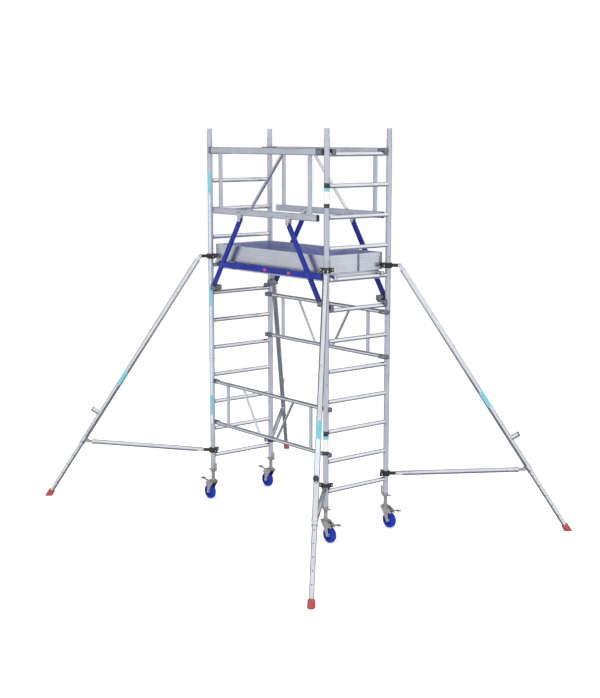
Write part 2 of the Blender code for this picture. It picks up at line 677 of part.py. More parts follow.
def outer_leg_mesh():
    at = along_line((PIVOT_R, TOP_PIVOT_Z), FOOT_POINT)
    adds = [rod((0, 0, LEG_START), (0, 0, LEG_END), LEG_R, TUBE_SIDES, at)]
    adds.append(rod((-0.010, 0, PEG_AT), (-PEG_REACH, 0, PEG_AT), LEG_R * 0.96, TUBE_SIDES, at))
    adds += fork_cheeks(at)
    for side in (-1, 1):
        adds.append(box((0.021, 0.062), both_signs(EAR_HALF, side), (EAR_AT - 0.018, EAR_AT + 0.018), at))
    bore = rod((0, 0, LEG_START + 0.012), (0, 0, LEG_END + 0.01), LEG_BORE_R, TUBE_SIDES, at)
    return solid(adds, [bore])


def inner_leg_mesh():
    at = along_line((PIVOT_R, TOP_PIVOT_Z), FOOT_POINT)
    tube = rod((0, 0, INNER_START), (0, 0, FOOT_CAP[0] + 0.02), INNER_R, TUBE_SIDES, at)
    cap = rod((0, 0, FOOT_CAP[0]), (0, 0, FOOT_CAP[1]), FOOT_R, TUBE_SIDES, at)
    bore = rod((0, 0, INNER_START - 0.01), (0, 0, FOOT_CAP[0] + 0.01), INNER_BORE_R, TUBE_SIDES, at)
    below_floor = box((1.4, 2.0), (-0.2, 0.2), (-0.3, 0.0))
    return solid([tube, cap], [bore, below_floor])


def spreader_mesh():
    leg = along_line((PIVOT_R, TOP_PIVOT_Z), FOOT_POINT)
    ear = leg @ Vector((EAR_OFFSET, 0, EAR_AT))
    at = along_line((PIVOT_R, LOW_PIVOT_Z), (ear.x, ear.z))
    length = math.hypot(ear.x - PIVOT_R, ear.z - LOW_PIVOT_Z)
    tube_end = length - 0.050
    adds = [rod((0, 0, LEG_START), (0, 0, tube_end), STRUT_R, TUBE_SIDES, at)] + fork_cheeks(at)
    bore = rod((0, 0, LEG_START + 0.012), (0, 0, tube_end + 0.01), STRUT_BORE_R, TUBE_SIDES, at)
    tongue = (-EAR_HALF[0] + GAP, EAR_HALF[0] - GAP)
    late = [box((-0.0215, 0.0215), tongue, (tube_end - 0.030, tube_end + 0.004), at),
            box((-0.012, 0.012), tongue, (tube_end, length + 0.012), at)]
    return solid(adds, [bore], late)


def add_stabilisers():
    clamp = clamp_mesh()
    pieces = {
        "stabiliser_outer_leg": (outer_leg_mesh(), "rung_aluminium"),
        "stabiliser_inner_leg": (inner_leg_mesh(), "rung_aluminium"),
        "stabiliser_spreader": (spreader_mesh(), "rung_aluminium"),
    }
    for corner, (sign_x, sign_y, direction) in CORNERS.items():
        turn = Matrix.Rotation(math.radians(direction), 4, "Z")
        at = Matrix.Translation((sign_x * HALF_LENGTH, sign_y * HALF_WIDTH, 0)) @ turn
        for piece, (mesh, colour) in pieces.items():
            place(f"{corner}_{piece}", mesh, paint[colour], at)
        for piece, z in (("top_clamp", TOP_PIVOT_Z), ("low_clamp", LOW_PIVOT_Z)):
            raised = at @ Matrix.Translation((0, 0, z))
            place(f"{corner}_{piece}", clamp, paint["clamp_black"], raised)


clear_scene()
tower = new_collection("mobile_tower_scaffold")
cutters = new_collection("cutters", hidden=True)
paint = {name: make_material(name) for name in COLOURS}
add_frames()
add_legs()
add_deck()
add_toe_boards()
add_guardrails()
add_braces()
add_stabilisers()
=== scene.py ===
"""Looks of the mobile tower scaffold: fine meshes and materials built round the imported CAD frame.

Metres, +Z up, in the CAD's own frame. Each fine piece stands for the CAD node of the same place.
"""

import json
import math

import bmesh
import bpy
from mathutils import Matrix, Vector


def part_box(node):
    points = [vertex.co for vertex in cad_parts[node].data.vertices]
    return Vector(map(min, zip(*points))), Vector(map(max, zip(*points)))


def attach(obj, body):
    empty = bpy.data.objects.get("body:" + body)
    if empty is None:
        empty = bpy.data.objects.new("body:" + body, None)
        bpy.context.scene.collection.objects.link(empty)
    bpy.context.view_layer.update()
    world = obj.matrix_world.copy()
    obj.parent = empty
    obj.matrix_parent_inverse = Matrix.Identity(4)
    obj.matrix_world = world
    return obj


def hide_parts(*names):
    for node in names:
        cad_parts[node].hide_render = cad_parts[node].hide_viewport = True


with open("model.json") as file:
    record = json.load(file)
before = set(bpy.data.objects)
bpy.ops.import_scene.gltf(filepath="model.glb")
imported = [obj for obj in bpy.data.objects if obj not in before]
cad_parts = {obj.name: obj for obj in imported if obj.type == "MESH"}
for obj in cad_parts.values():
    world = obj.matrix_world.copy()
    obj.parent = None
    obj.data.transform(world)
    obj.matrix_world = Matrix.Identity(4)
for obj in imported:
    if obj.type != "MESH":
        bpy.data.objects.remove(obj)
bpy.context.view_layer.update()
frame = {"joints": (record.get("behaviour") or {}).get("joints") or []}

# Tube sizes
POST_R = 0.0254
POST_BORE = 0.0228
SPIGOT_R = 0.0224
SPIGOT_BORE = 0.0203
SPIGOT_LENGTH = 0.090
RUNG_R = 0.0200
RUNG_PITCH = 0.280
FIRST_RUNG = 0.140
SPINDLE_R = 0.0180
THREAD_PITCH = 0.008
THREAD_DEPTH = 0.0018
THREAD_TOP = 0.520
NUT_TOP = 0.3292
FORK_PLATE_Z = 0.205
WHEEL_R = 0.075
TRAIL = 0.058             # of the axle behind the swivel
WHEEL_HALF_WIDTH = 0.0248
PEDAL_PIVOT = (0.030, 0.176)
LEG_R = 0.0250
LEG_BORE = 0.0226
INNER_R = 0.0221
SPREADER_R = 0.0225
TUBE_SIDES = 40
FLUTE_DEPTH = 0.00004
GROOVE = 0.0026          # half width and depth of a toe board's grooves

CORNERS = ("front_left", "front_right", "back_right", "back_left")


# A mesh under construction

class Piece:
    """A mesh, and the frame that its points are given in, which is the tower's own by default.

    Its grain attribute holds metres across and along the grain of each face.
    """

    def __init__(self, at=None):
        self.at = at or Matrix.Identity(4)
        self.shape = bmesh.new()
        self.grain = self.shape.loops.layers.float_vector.new("grain")
        self.materials = []

    def index_of(self, material):
        if material not in self.materials:
            self.materials.append(material)
        return self.materials.index(material)

    def place(self, point):
        return self.at @ Vector(point)

    def facing(self, point, direction, at=None):
        """A frame at a point, with its Z along a direction."""
        at = at or self.at
        start = at @ Vector(point)
        return line_frame(start, start + at.to_3x3() @ Vector(direction))[0]

    def between(self, start, end, level=None):
        """A frame from one point to another, and the length between them."""
        return line_frame(self.place(start), self.place(end), level and self.at.to_3x3() @ Vector(level))

    def loft(self, rings, material, wrap=False, caps=True):
        """Joins each ring of points to the next, and the last to the first where it wraps."""
        index = self.index_of(material)
        rows = [[self.shape.verts.new(point) for point in ring] for ring in rings]
        pairs = list(zip(rows, rows[1:]))
        if wrap:
            pairs.append((rows[-1], rows[0]))
        along = 0.0
        for low, high in pairs:
            step = (high[0].co - low[0].co).length
            across = 0.0
            for i in range(len(low)):
                j = (i + 1) % len(low)
                width = (low[j].co - low[i].co).length
                face = self.shape.faces.new((low[i], low[j], high[j], high[i]))
                face.material_index = index
                ends = ((across, along), (across + width, along), (across + width, along + step),
                        (across, along + step))
                for loop, (u, v) in zip(face.loops, ends):
                    loop[self.grain] = (u, v, 0.0)
                across += width
            along += step
        if caps and not wrap:
            for row in (rows[0][::-1], rows[-1]):
                face = self.shape.faces.new(row)
                face.material_index = index
                for loop in face.loops:
                    loop[self.grain] = tuple(loop.vert.co)

    def absorb(self, part, material, at=None):
        """Takes over the faces of another bmesh, with the grain along its longest side."""
        index = self.index_of(material)
        spans = [max(v.co[a] for v in part.verts) - min(v.co[a] for v in part.verts) for a in range(3)]
        along = spans.index(max(spans))
        across = [axis for axis in range(3) if axis != along]
        copies = {v: self.shape.verts.new((at or self.at) @ v.co) for v in part.verts}
        for old in part.faces:
            face = self.shape.faces.new([copies[v] for v in old.verts])
            face.material_index = index
            for loop, v in zip(face.loops, old.verts):
                loop[self.grain] = (v.co[across[0]] + v.co[across[1]], v.co[along], 0.0)
        part.free()

    def finish(self, name, body, slot, *nodes):
        mesh = bpy.data.meshes.new(name)
        self.shape.to_mesh(mesh)
        self.shape.free()
        for material in self.materials:
            mesh.materials.append(material)
        mesh.shade_smooth()
        mesh.set_sharp_from_angle(angle=math.radians(38))
        obj = bpy.data.objects.new(name, mesh)
        bpy.context.scene.collection.objects.link(obj)
        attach(obj, body)
        if nodes:
            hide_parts(*nodes)
        return obj


def line_frame(start, end, level=None):
    """A matrix whose Z runs from start to end, and the length between them. Its Y is level if given."""
    start, end = Vector(start), Vector(end)
    along = (end - start).normalized()
    if level is None:
        level = Vector((0, 0, 1)).cross(along)
        if level.length < 1e-6:
            level = Vector((0, 1, 0))
    level = Vector(level).normalized()
    out = level.cross(along).normalized()
    turn = Matrix((out, level, along)).transposed().to_4x4()
    return Matrix.Translation(start) @ turn, (end - start).length


def circle(radius, height, sides, at):
    steps = (2 * math.pi * i / sides for i in range(sides))
    return [at @ Vector((radius * math.cos(a), radius * math.sin(a), height)) for a in steps]


def turned(piece, profile, material, sides=TUBE_SIDES, wrap=False, at=None):
    """A turned shape from (radius, height) pairs, climbing its outer side."""
    piece.loft([circle(r, z, sides, at or piece.at) for r, z in profile], material, wrap)


def mirrored(profile):
    """A profile given from its end to its middle, with the other half before it."""
    return [(r, -z) for r, z in profile] + [(r, z) for r, z in reversed(profile) if z]


def tube(piece, start, end, radius, bore, material, sides=TUBE_SIDES, edge=0.0006):
    """A round tube with its open ends' edges broken, or a bar where the bore is 0."""
    at, length = piece.between(start, end)
    profile = [(radius - edge, 0.0), (radius, edge), (radius, length - edge), (radius - edge, length)]
    if bore:
        profile += [(bore, length), (bore, 0.0)]
    turned(piece, profile, material, sides, wrap=bool(bore), at=at)


def rounded(half_w, half_h, corner, steps=5):
    """A rectangle with round corners, anticlockwise."""
    points = []
    for quarter, (sx, sy) in enumerate(((1, 1), (-1, 1), (-1, -1), (1, -1))):
        centre = (sx * (half_w - corner), sy * (half_h - corner))
        for step in range(steps + 1):
            angle = math.pi / 2 * (quarter + step / steps)
            points.append((centre[0] + corner * math.cos(angle), centre[1] + corner * math.sin(angle)))
    return points


def bar(piece, start, end, outline, material, level=None):
    """An outline in (x, y) drawn from start to end, with Y level."""
    at, length = piece.between(start, end, level)
    piece.loft([[at @ Vector((x, y, z)) for x, y in outline] for z in (0.0, length)], material)


def hollow_bar(piece, start, end, outer, inner, material, level=None):
    """An extruded tube from an outer and an inner outline with the same number of points."""
    at, length = piece.between(start, end, level)
    rings = [[at @ Vector((x, y, z)) for x, y in outline] for outline,
             z in ((outer, 0.0), (outer, length), (inner, length), (inner, 0.0))]
    piece.loft(rings, material, wrap=True)


def block(piece, x, y, z, material, bevel=0.0015, at=None):
    """A block between three pairs, with rounded edges."""
    part = bmesh.new()
    size = Matrix.Diagonal((abs(x[1] - x[0]), abs(y[1] - y[0]), abs(z[1] - z[0]), 1.0))
    centre = Matrix.Translation(((x[0] + x[1]) / 2, (y[0] + y[1]) / 2, (z[0] + z[1]) / 2))
    bmesh.ops.create_cube(part, size=1.0, matrix=centre @ size)
    bmesh.ops.bevel(part, geom=part.edges[:], offset=bevel, segments=2, profile=0.5, affect="EDGES")
    piece.absorb(part, material, at)


def slab(piece, outline, y, material, bevel=0.0008, at=None):
    """A flat outline in X and Z, as thick as the pair y, with rounded edges."""
    part = bmesh.new()
    face = part.faces.new([part.verts.new((px, y[0], pz)) for px, pz in outline])
    grown = bmesh.ops.extrude_face_region(part, geom=[face])["geom"]
    moved = [v for v in grown if isinstance(v, bmesh.types.BMVert)]
    bmesh.ops.translate(part, verts=moved, vec=(0, y[1] - y[0], 0))
    bmesh.ops.recalc_face_normals(part, faces=part.faces)
    bmesh.ops.bevel(part, geom=part.edges[:], offset=bevel, segments=1, profile=0.5, affect="EDGES")
    piece.absorb(part, material, at)


def bolt(piece, point, direction, material, across=0.0065, head=0.0055, washer=True, at=None):
    """A hexagon head on a washer, standing on a surface that faces the direction."""
    at = piece.facing(point, direction, at)
    rise = 0.0
    if washer:
        turned(piece, [(across * 1.45, -0.001), (across * 1.55, 0.0003), (across * 1.5, 0.0016),
                       (across * 1.3, 0.0018)], material, 20, at=at)
        rise = 0.0015
    turned(piece, [(across, rise), (across, rise + head * 0.82), (across * 0.84, rise + head)], material, 6,
           at=at)


def dome(piece, point, direction, radius, rise, material, at=None):
    """A low round head, such as a rivet's."""
    at = piece.facing(point, direction, at)
    arc = [(radius * math.cos(a), rise * math.sin(a)) for a in (0.0, 0.35, 0.7, 1.05, 1.4)]
    turned(piece, [(radius, -0.002)] + arc, material, 20, at=at)


def hoop(piece, centre, direction, radius, thick, material, sides=32, ripple=0.0):
    """A ring of wire or a weld bead round a direction, with the ripple as a share of its thickness."""
    at = piece.facing(centre, direction)
    rings = []
    for i in range(sides):
        turn = 2 * math.pi * i / sides
        fat = thick * (1 + ripple * math.sin(turn * 9))
        ring = []
        for j in range(8):
            a = 2 * math.pi * j / 8
            r = radius + fat * math.cos(a)
            ring.append(at @ Vector((r * math.cos(turn), r * math.sin(turn), -fat * math.sin(a))))
        rings.append(ring[::-1])
    piece.loft(rings, material, wrap=True)


# Materials

def shader_of(name):
    material = bpy.data.materials.new(name)
    material.use_nodes = True
    tree = material.node_tree
    return material, tree, tree.nodes["Principled BSDF"]


def add_node(tree, kind, **values):
    node = tree.nodes.new(kind)
    for key, value in values.items():
        setattr(node, key, value)
    return node


def noise(tree, source, scale, detail=4.0, stretch=None):
    """A noise texture's value over the coordinates, which a stretch can scale along each axis."""
    if stretch:
        mapping = add_node(tree, "ShaderNodeMapping")
        mapping.inputs["Scale"].default_value = stretch
        tree.links.new(source, mapping.inputs["Vector"])
        source = mapping.outputs["Vector"]
    texture = add_node(tree, "ShaderNodeTexNoise")
    texture.inputs["Scale"].default_value = scale
    texture.inputs["Detail"].default_value = detail
    tree.links.new(source, texture.inputs["Vector"])
    return texture.outputs["Fac"]


def ramp(tree, source, stops):
    """A colour ramp over a value, from (position, colour) stops."""
    node = add_node(tree, "ShaderNodeValToRGB")
    elements = node.color_ramp.elements
    for element, (position, colour) in zip(elements, stops):
        element.position = position
        element.color = (*colour, 1.0)
    for position, colour in stops[len(elements):]:
        elements.new(position).color = (*colour, 1.0)
    tree.links.new(source, node.inputs["Fac"])
    return node.outputs["Color"]


def spread(tree, source, low, high):
    """The value moved from 0.3 to 0.7 onto low to high."""
    node = add_node(tree, "ShaderNodeMapRange")
    node.inputs["From Min"].default_value = 0.3
    node.inputs["From Max"].default_value = 0.7
    node.inputs["To Min"].default_value = low
    node.inputs["To Max"].default_value = high
    tree.links.new(source, node.inputs["Value"])
    return node.outputs["Result"]


def dress(tree, shader, tint, stops, wear, low, high, heights, sheen=0.5):
    """Colour from one texture, roughness from low to high by another, and bumps from heights."""
    tree.links.new(ramp(tree, tint, stops), shader.inputs["Base Color"])
    tree.links.new(spread(tree, wear, low, high), shader.inputs["Roughness"])
    shader.inputs["Specular IOR Level"].default_value = sheen
    bump(tree, shader, heights)


def bump(tree, shader, heights):
    """Bump nodes in a chain, from (height output, distance in metres) pairs."""
    previous = None
    for height, distance in heights:
        node = add_node(tree, "ShaderNodeBump")
        node.inputs["Strength"].default_value = 1.0
        node.inputs["Distance"].default_value = distance
        tree.links.new(height, node.inputs["Height"])
        if previous:
            tree.links.new(previous, node.inputs["Normal"])
        previous = node.outputs["Normal"]
    tree.links.new(previous, shader.inputs["Normal"])


def drawn_metal(name, dark, light, roughness, metallic, line_depth=0.000004):
    """Aluminium drawn through a die: fine lines along the grain, dull patches and scuffs."""
    material, tree, shader = shader_of(name)
    grain = add_node(tree, "ShaderNodeAttribute", attribute_name="grain").outputs["Vector"]
    place = add_node(tree, "ShaderNodeTexCoord").outputs["Object"]
    lines = noise(tree, grain, 1.0, 3.0, (900.0, 5.0, 1.0))
    patches = noise(tree, place, 6.0, 5.0)
    scuffs = noise(tree, grain, 1.0, 6.0, (60.0, 240.0, 1.0))
    mixed = add_node(tree, "ShaderNodeMix", data_type="FLOAT")
    mixed.inputs["Factor"].default_value = 0.35
    tree.links.new(patches, mixed.inputs["A"])
    tree.links.new(lines, mixed.inputs["B"])
    shader.inputs["Metallic"].default_value = metallic
    dress(tree, shader, mixed.outputs["Result"], [(0.35, dark), (0.62, light)], patches, roughness - 0.06,
          roughness + 0.08, [(lines, line_depth), (scuffs, line_depth * 0.6)])
    return material


def zinc_plate(name, dark, light, roughness=0.38):
    """Zinc plating: a faint spangle and cloudy passivation."""
    material, tree, shader = shader_of(name)
    place = add_node(tree, "ShaderNodeTexCoord").outputs["Object"]
    spangle = add_node(tree, "ShaderNodeTexVoronoi")
    spangle.inputs["Scale"].default_value = 140.0
    tree.links.new(place, spangle.inputs["Vector"])
    clouds = noise(tree, place, 30.0, 6.0)
    mixed = add_node(tree, "ShaderNodeMix", data_type="FLOAT")
    mixed.inputs["Factor"].default_value = 0.35
    tree.links.new(clouds, mixed.inputs["A"])
    tree.links.new(spangle.outputs["Distance"], mixed.inputs["B"])
    shader.inputs["Metallic"].default_value = 0.92
    dress(tree, shader, mixed.outputs["Result"], [(0.32, dark), (0.60, light)], clouds, roughness - 0.10,
          roughness + 0.12, [(clouds, 0.00008)])
    return material


def paint(name, base, worn, roughness, peel=0.000005, sheen=0.5):
    """Powder coat: orange peel, slight fading and fine handling scratches."""
    material, tree, shader = shader_of(name)
    place = add_node(tree, "ShaderNodeTexCoord").outputs["Object"]
    grain = add_node(tree, "ShaderNodeAttribute", attribute_name="grain").outputs["Vector"]
    peel_height = noise(tree, place, 700.0, 2.0)
    fading = noise(tree, place, 5.0, 6.0)
    scratches = noise(tree, grain, 1.0, 8.0, (40.0, 400.0, 1.0))
    dress(tree, shader, fading, [(0.30, base), (0.72, worn)], scratches, roughness - 0.05, roughness + 0.10,
          [(peel_height, peel), (scratches, peel * 0.4)], sheen)
    return material


def moulded(name, base, light, roughness, texture=0.000003, sheen=0.5):
    """Moulded plastic or rubber: a fine spark-eroded skin and cloudy colour."""
    material, tree, shader = shader_of(name)
    place = add_node(tree, "ShaderNodeTexCoord").outputs["Object"]
    skin = noise(tree, place, 1800.0, 2.0)
    clouds = noise(tree, place, 18.0, 5.0)
    dress(tree, shader, clouds, [(0.30, base), (0.75, light)], clouds, roughness - 0.05, roughness + 0.07,
          [(skin, texture)], sheen)
    return material


def film_faced(name, base, worn):
    """Film-faced plywood: a pressed wire-mesh tread over scuffed blue film."""
    material, tree, shader = shader_of(name)
    place = add_node(tree, "ShaderNodeTexCoord").outputs["Object"]
    mesh_print = add_node(tree, "ShaderNodeTexVoronoi", feature="DISTANCE_TO_EDGE")
    mesh_print.inputs["Scale"].default_value = 220.0
    mesh_print.inputs["Randomness"].default_value = 0.15
    tree.links.new(place, mesh_print.inputs["Vector"])
    scuffs = noise(tree, place, 9.0, 8.0)
    dress(tree, shader, scuffs, [(0.34, base), (0.70, worn)], scuffs, 0.42, 0.62,
          [(mesh_print.outputs["Distance"], 0.00015), (scuffs, 0.0001)], 0.12)
    return material


def ply_edge(name):
    """The cut edge of plywood: thin layers, alternately pale and brown."""
    material, tree, shader = shader_of(name)
    place = add_node(tree, "ShaderNodeTexCoord").outputs["Object"]
    layers = add_node(tree, "ShaderNodeTexWave", bands_direction="Z")
    layers.inputs["Scale"].default_value = 110.0
    layers.inputs["Distortion"].default_value = 0.6
    tree.links.new(place, layers.inputs["Vector"])
    tree.links.new(ramp(tree, layers.outputs["Fac"],
                        [(0.30, (0.20, 0.11, 0.05)), (0.65, (0.52, 0.36, 0.20))]),
                   shader.inputs["Base Color"])
    shader.inputs["Roughness"].default_value = 0.75
    bump(tree, shader, [(layers.outputs["Fac"], 0.0002)])
    return material


post_metal = drawn_metal("post_aluminium", (0.46, 0.49, 0.57), (0.59, 0.62, 0.70), 0.40, 0.82)
rung_metal = drawn_metal("rung_aluminium", (0.74, 0.76, 0.81), (0.85, 0.87, 0.91), 0.20, 1.00)
leg_metal = drawn_metal("leg_aluminium", (0.66, 0.68, 0.73), (0.78, 0.80, 0.85), 0.22, 1.00)
board_metal = drawn_metal("board_aluminium", (0.56, 0.59, 0.67), (0.68, 0.71, 0.78), 0.31, 0.96, 0.0000006)
zinc = zinc_plate("zinc_steel", (0.32, 0.30, 0.30), (0.52, 0.49, 0.49))
bright_zinc = zinc_plate("bright_zinc", (0.46, 0.47, 0.50), (0.66, 0.67, 0.70), 0.26)
cast_grey = zinc_plate("cast_grey", (0.15, 0.16, 0.20), (0.26, 0.275, 0.33), 0.45)
blue_paint = paint("blue_paint", (0.012, 0.020, 0.200), (0.018, 0.030, 0.270), 0.42, sheen=0.15)
black_paint = paint("clamp_black", (0.010, 0.010, 0.011), (0.024, 0.024, 0.026), 0.38)
blue_wheel = moulded("blue_wheel", (0.004, 0.022, 0.300), (0.010, 0.038, 0.400), 0.42, sheen=0.15)
hub_blue = moulded("hub_blue", (0.16, 0.22, 0.60), (0.26, 0.34, 0.72), 0.35)
red_rubber = moulded("red_rubber", (0.30, 0.040, 0.040), (0.40, 0.070, 0.070), 0.55)
# Dark moulded plastic, also used as painted shade for the stabilisers' pin holes and the toe boards' slots.
dark_plastic_and_hole_shade = moulded("dark_plastic_and_hole_shade", (0.020, 0.021, 0.025), (0.040, 0.042, 0.050), 0.50)
teal_label = moulded("teal_label", (0.13, 0.42, 0.49), (0.19, 0.50, 0.57), 0.40)
pale_label = moulded("pale_label", (0.50, 0.58, 0.64), (0.58, 0.66, 0.71), 0.40)
white_label = moulded("white_label", (0.62, 0.61, 0.56), (0.72, 0.71, 0.67), 0.45)
red_mark = moulded("red_mark", (0.50, 0.02, 0.02), (0.62, 0.05, 0.04), 0.45)
deck_film = film_faced("deck_blue", (0.055, 0.095, 0.480), (0.085, 0.135, 0.580))
deck_edge = ply_edge("ply_edge")


# Where the frame says the posts and the stabilisers are

def post_axis(corner):
    """The foot of a corner's post line on the floor, as X and Y."""
    side = "left" if corner.endswith("left") else "right"
    low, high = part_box(f"{side}_lower_frame")
    y = high[1] - POST_R
    return (low[0] + high[0]) / 2, y if corner.startswith("back") else -y


def caster_frame(corner):
    """X points out of the tower, and the origin is on the floor under the post."""
    x, y = post_axis(corner)
    turn = Matrix.Identity(4) if x > 0 else Matrix.Rotation(math.pi, 4, "Z")
    return Matrix.Translation((x, y, 0)) @ turn


def joint_axis(name):
    return Vector(next(joint["axis"] for joint in frame["joints"] if joint["name"] == name))


def stabiliser_frame(corner):
    """X points away from the post along the stabiliser, and the origin is on the floor under the post."""
    along = joint_axis(f"{corner}_stabiliser_leg_slide")
    x, y = post_axis(corner)
    return Matrix.Translation((x, y, 0)) @ Matrix.Rotation(math.atan2(along.y, along.x), 4, "Z")


# Ladder frames

def fluted_rung(piece, start, end):
    """A rung with fine grip flutes round it and plain ends."""
    at, length = line_frame(start, end)
    sides = 96
    rings = []
    for z, depth in ((0.0, 0.0), (0.045, 0.0), (0.050, 1.0), (length - 0.050, 1.0), (length - 0.045, 0.0),
                     (length, 0.0)):
        ring = []
        for i in range(sides):
            a = 2 * math.pi * i / sides
            r = RUNG_R - FLUTE_DEPTH * depth * (1 + math.cos(24 * a)) / 2
            ring.append(at @ Vector((r * math.cos(a), r * math.sin(a), z)))
        rings.append(ring)
    piece.loft(rings, rung_metal, caps=False)


def locking_clip(piece, x, y, z, out):
    """A sprung wire clip round a post, with its pin through the joint."""
    hoop(piece, (x, y, z), (0, 0, 1), POST_R + 0.0022, 0.0018, bright_zinc)
    dome(piece, (x + out * POST_R, y, z), (out, 0, 0), 0.0060, 0.0045, cast_grey)
    block(piece, (x + out * POST_R, x + out * (POST_R + 0.007)), (y - 0.004, y + 0.004),
          (z - 0.020, z + 0.002), bright_zinc, 0.001)


def ladder(side, level):
    node = f"{side}_{level}_frame"
    low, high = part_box(node)
    x = (low[0] + high[0]) / 2
    half_width = high[1] - POST_R
    base, shoulder = low[2], high[2] - SPIGOT_LENGTH
    out = math.copysign(1, x)
    piece = Piece()
    for y in (-half_width, half_width):
        tube(piece, (x, y, base), (x, y, shoulder), POST_R, POST_BORE, post_metal, 56)
        at = Matrix.Translation((x, y, shoulder))
        turned(piece, [(SPIGOT_BORE, -0.060), (SPIGOT_R, -0.060), (SPIGOT_R, SPIGOT_LENGTH - 0.006),
                       (SPIGOT_R - 0.0012, SPIGOT_LENGTH), (SPIGOT_BORE, SPIGOT_LENGTH)], post_metal, 48,
               wrap=True, at=at)
        dome(piece, (x + out * SPIGOT_R, y, shoulder + 0.045), (out, 0, 0), 0.0040, 0.0012, dark_plastic_and_hole_shade)
        if level == "lower":
            turned(piece, [(SPINDLE_R + 0.0006, -0.0006), (POST_R - 0.001, -0.0006),
                           (POST_R - 0.001, 0.001), (SPINDLE_R + 0.0006, 0.020)], dark_plastic_and_hole_shade, 40, True,
                   at=Matrix.Translation((x, y, base)))
        else:
            locking_clip(piece, x, y, base + 0.032, out)
    for rung in range(4):
        z = base + FIRST_RUNG + rung * RUNG_PITCH
        inner = half_width - POST_R + 0.004
        fluted_rung(piece, (x, -inner, z), (x, inner, z))
        for y in (-inner + 0.0026, inner - 0.0026):
            hoop(piece, (x, y, z), (0, 1, 0), RUNG_R, 0.0030, post_metal, 40, ripple=0.12)
    piece.finish(f"{side}_{level}_ladder", "tower", "post_aluminium", node)


def label_band(name, x, y, z, facing, material, half_angle=180, body="tower", radius=POST_R,
               slot="post_aluminium", at=None):
    """A thin printed wrap round a post, centred on the direction it faces, in degrees."""
    piece = Piece()
    at = at or Matrix.Translation((x, y, 0))
    steps = 24
    rings = []
    for r in (radius + 0.0003, radius + 0.0006):
        for height in z if r < radius + 0.0005 else z[::-1]:
            angles = [math.radians(facing - half_angle + 2 * half_angle * i / steps)
                      for i in range(steps + 1)]
            rings.append([at @ Vector((r * math.cos(a), r * math.sin(a), height)) for a in angles])
    open_loft(piece, rings, material)
    piece.finish(name, body, slot)


def open_loft(piece, rings, material):
    """A closed shell from four open rows: its inner low, inner high, outer high and outer low edges."""
    index = piece.index_of(material)
    rows = [[piece.shape.verts.new(point) for point in ring] for ring in rings]
    for low, high in zip(rows, rows[1:] + rows[:1]):
        for i in range(len(low) - 1):
            face = piece.shape.faces.new((low[i], high[i], high[i + 1], low[i + 1]))
            face.material_index = index
    for end in (0, -1):
        face = piece.shape.faces.new([row[end] for row in rows])
        face.material_index = index
    bmesh.ops.recalc_face_normals(piece.shape, faces=piece.shape.faces)


def post_labels():
    """Plain coloured bands where the posts carry printed strips, with no lettering."""
    x, y = post_axis("front_left")
    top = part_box("left_upper_frame")[1][2] - SPIGOT_LENGTH
    label_band("front_left_pale_strip", x, y, (0.80, top - 0.42), -52, pale_label, 24)
    for count, (low, high) in enumerate(((3.147, 3.355), (2.024, 2.207), (0.899, 1.097))):
        label_band(f"front_left_teal_band_{count + 1}", x, y, (low, high), -64, teal_label, 38,
                   radius=POST_R + 0.0005)
    dots = Piece()
    facing = math.radians(-52)
    z = 0.84
    while z < top - 0.46:
        point = (x + (POST_R + 0.0006) * math.cos(facing), y + (POST_R + 0.0006) * math.sin(facing), z)
        dome(dots, point, (math.cos(facing), math.sin(facing), 0), 0.0030, 0.0004, cast_grey)
        z += 0.056
    dots.finish("front_left_strip_dots", "tower", "post_aluminium")
    x, y = post_axis("front_right")
    for count, (low, high) in enumerate(((3.078, 3.298), (0.819, 1.044))):
        span = high - low
        parts = (("black_top", 0.80, 1.0, dark_plastic_and_hole_shade), ("teal", 0.66, 0.795, teal_label),
                 ("white_field", 0.17, 0.655, white_label), ("black_foot", 0.0, 0.165, dark_plastic_and_hole_shade))
        for part, start, end, material in parts:
            label_band(f"front_right_label_{part}_{count + 1}", x, y,
                       (low + start * span, low + end * span), -46, material, 85)


# Adjustable legs and casters

def threaded(piece, low, high):
    """A trapezoidal thread, drawn as a radius that climbs with the angle."""
    sides, rings_per_turn = 32, 8
    count = int((high - low) / THREAD_PITCH * rings_per_turn)
    rings = []
    for k in range(count + 1):
        z = low + (high - low) * k / count
        ring = []
        for i in range(sides):
            turn = i / sides
            phase = ((z - low) / THREAD_PITCH - turn) % 1.0
            crest = min(1.0, max(0.0, 2.2 - 5.0 * abs(phase - 0.5)))
            r = SPINDLE_R - THREAD_DEPTH * (1.0 - crest)
            ring.append(piece.place((r * math.cos(2 * math.pi * turn), r * math.sin(2 * math.pi * turn),
                                     z)))
        rings.append(ring)
    piece.loft(rings, zinc)


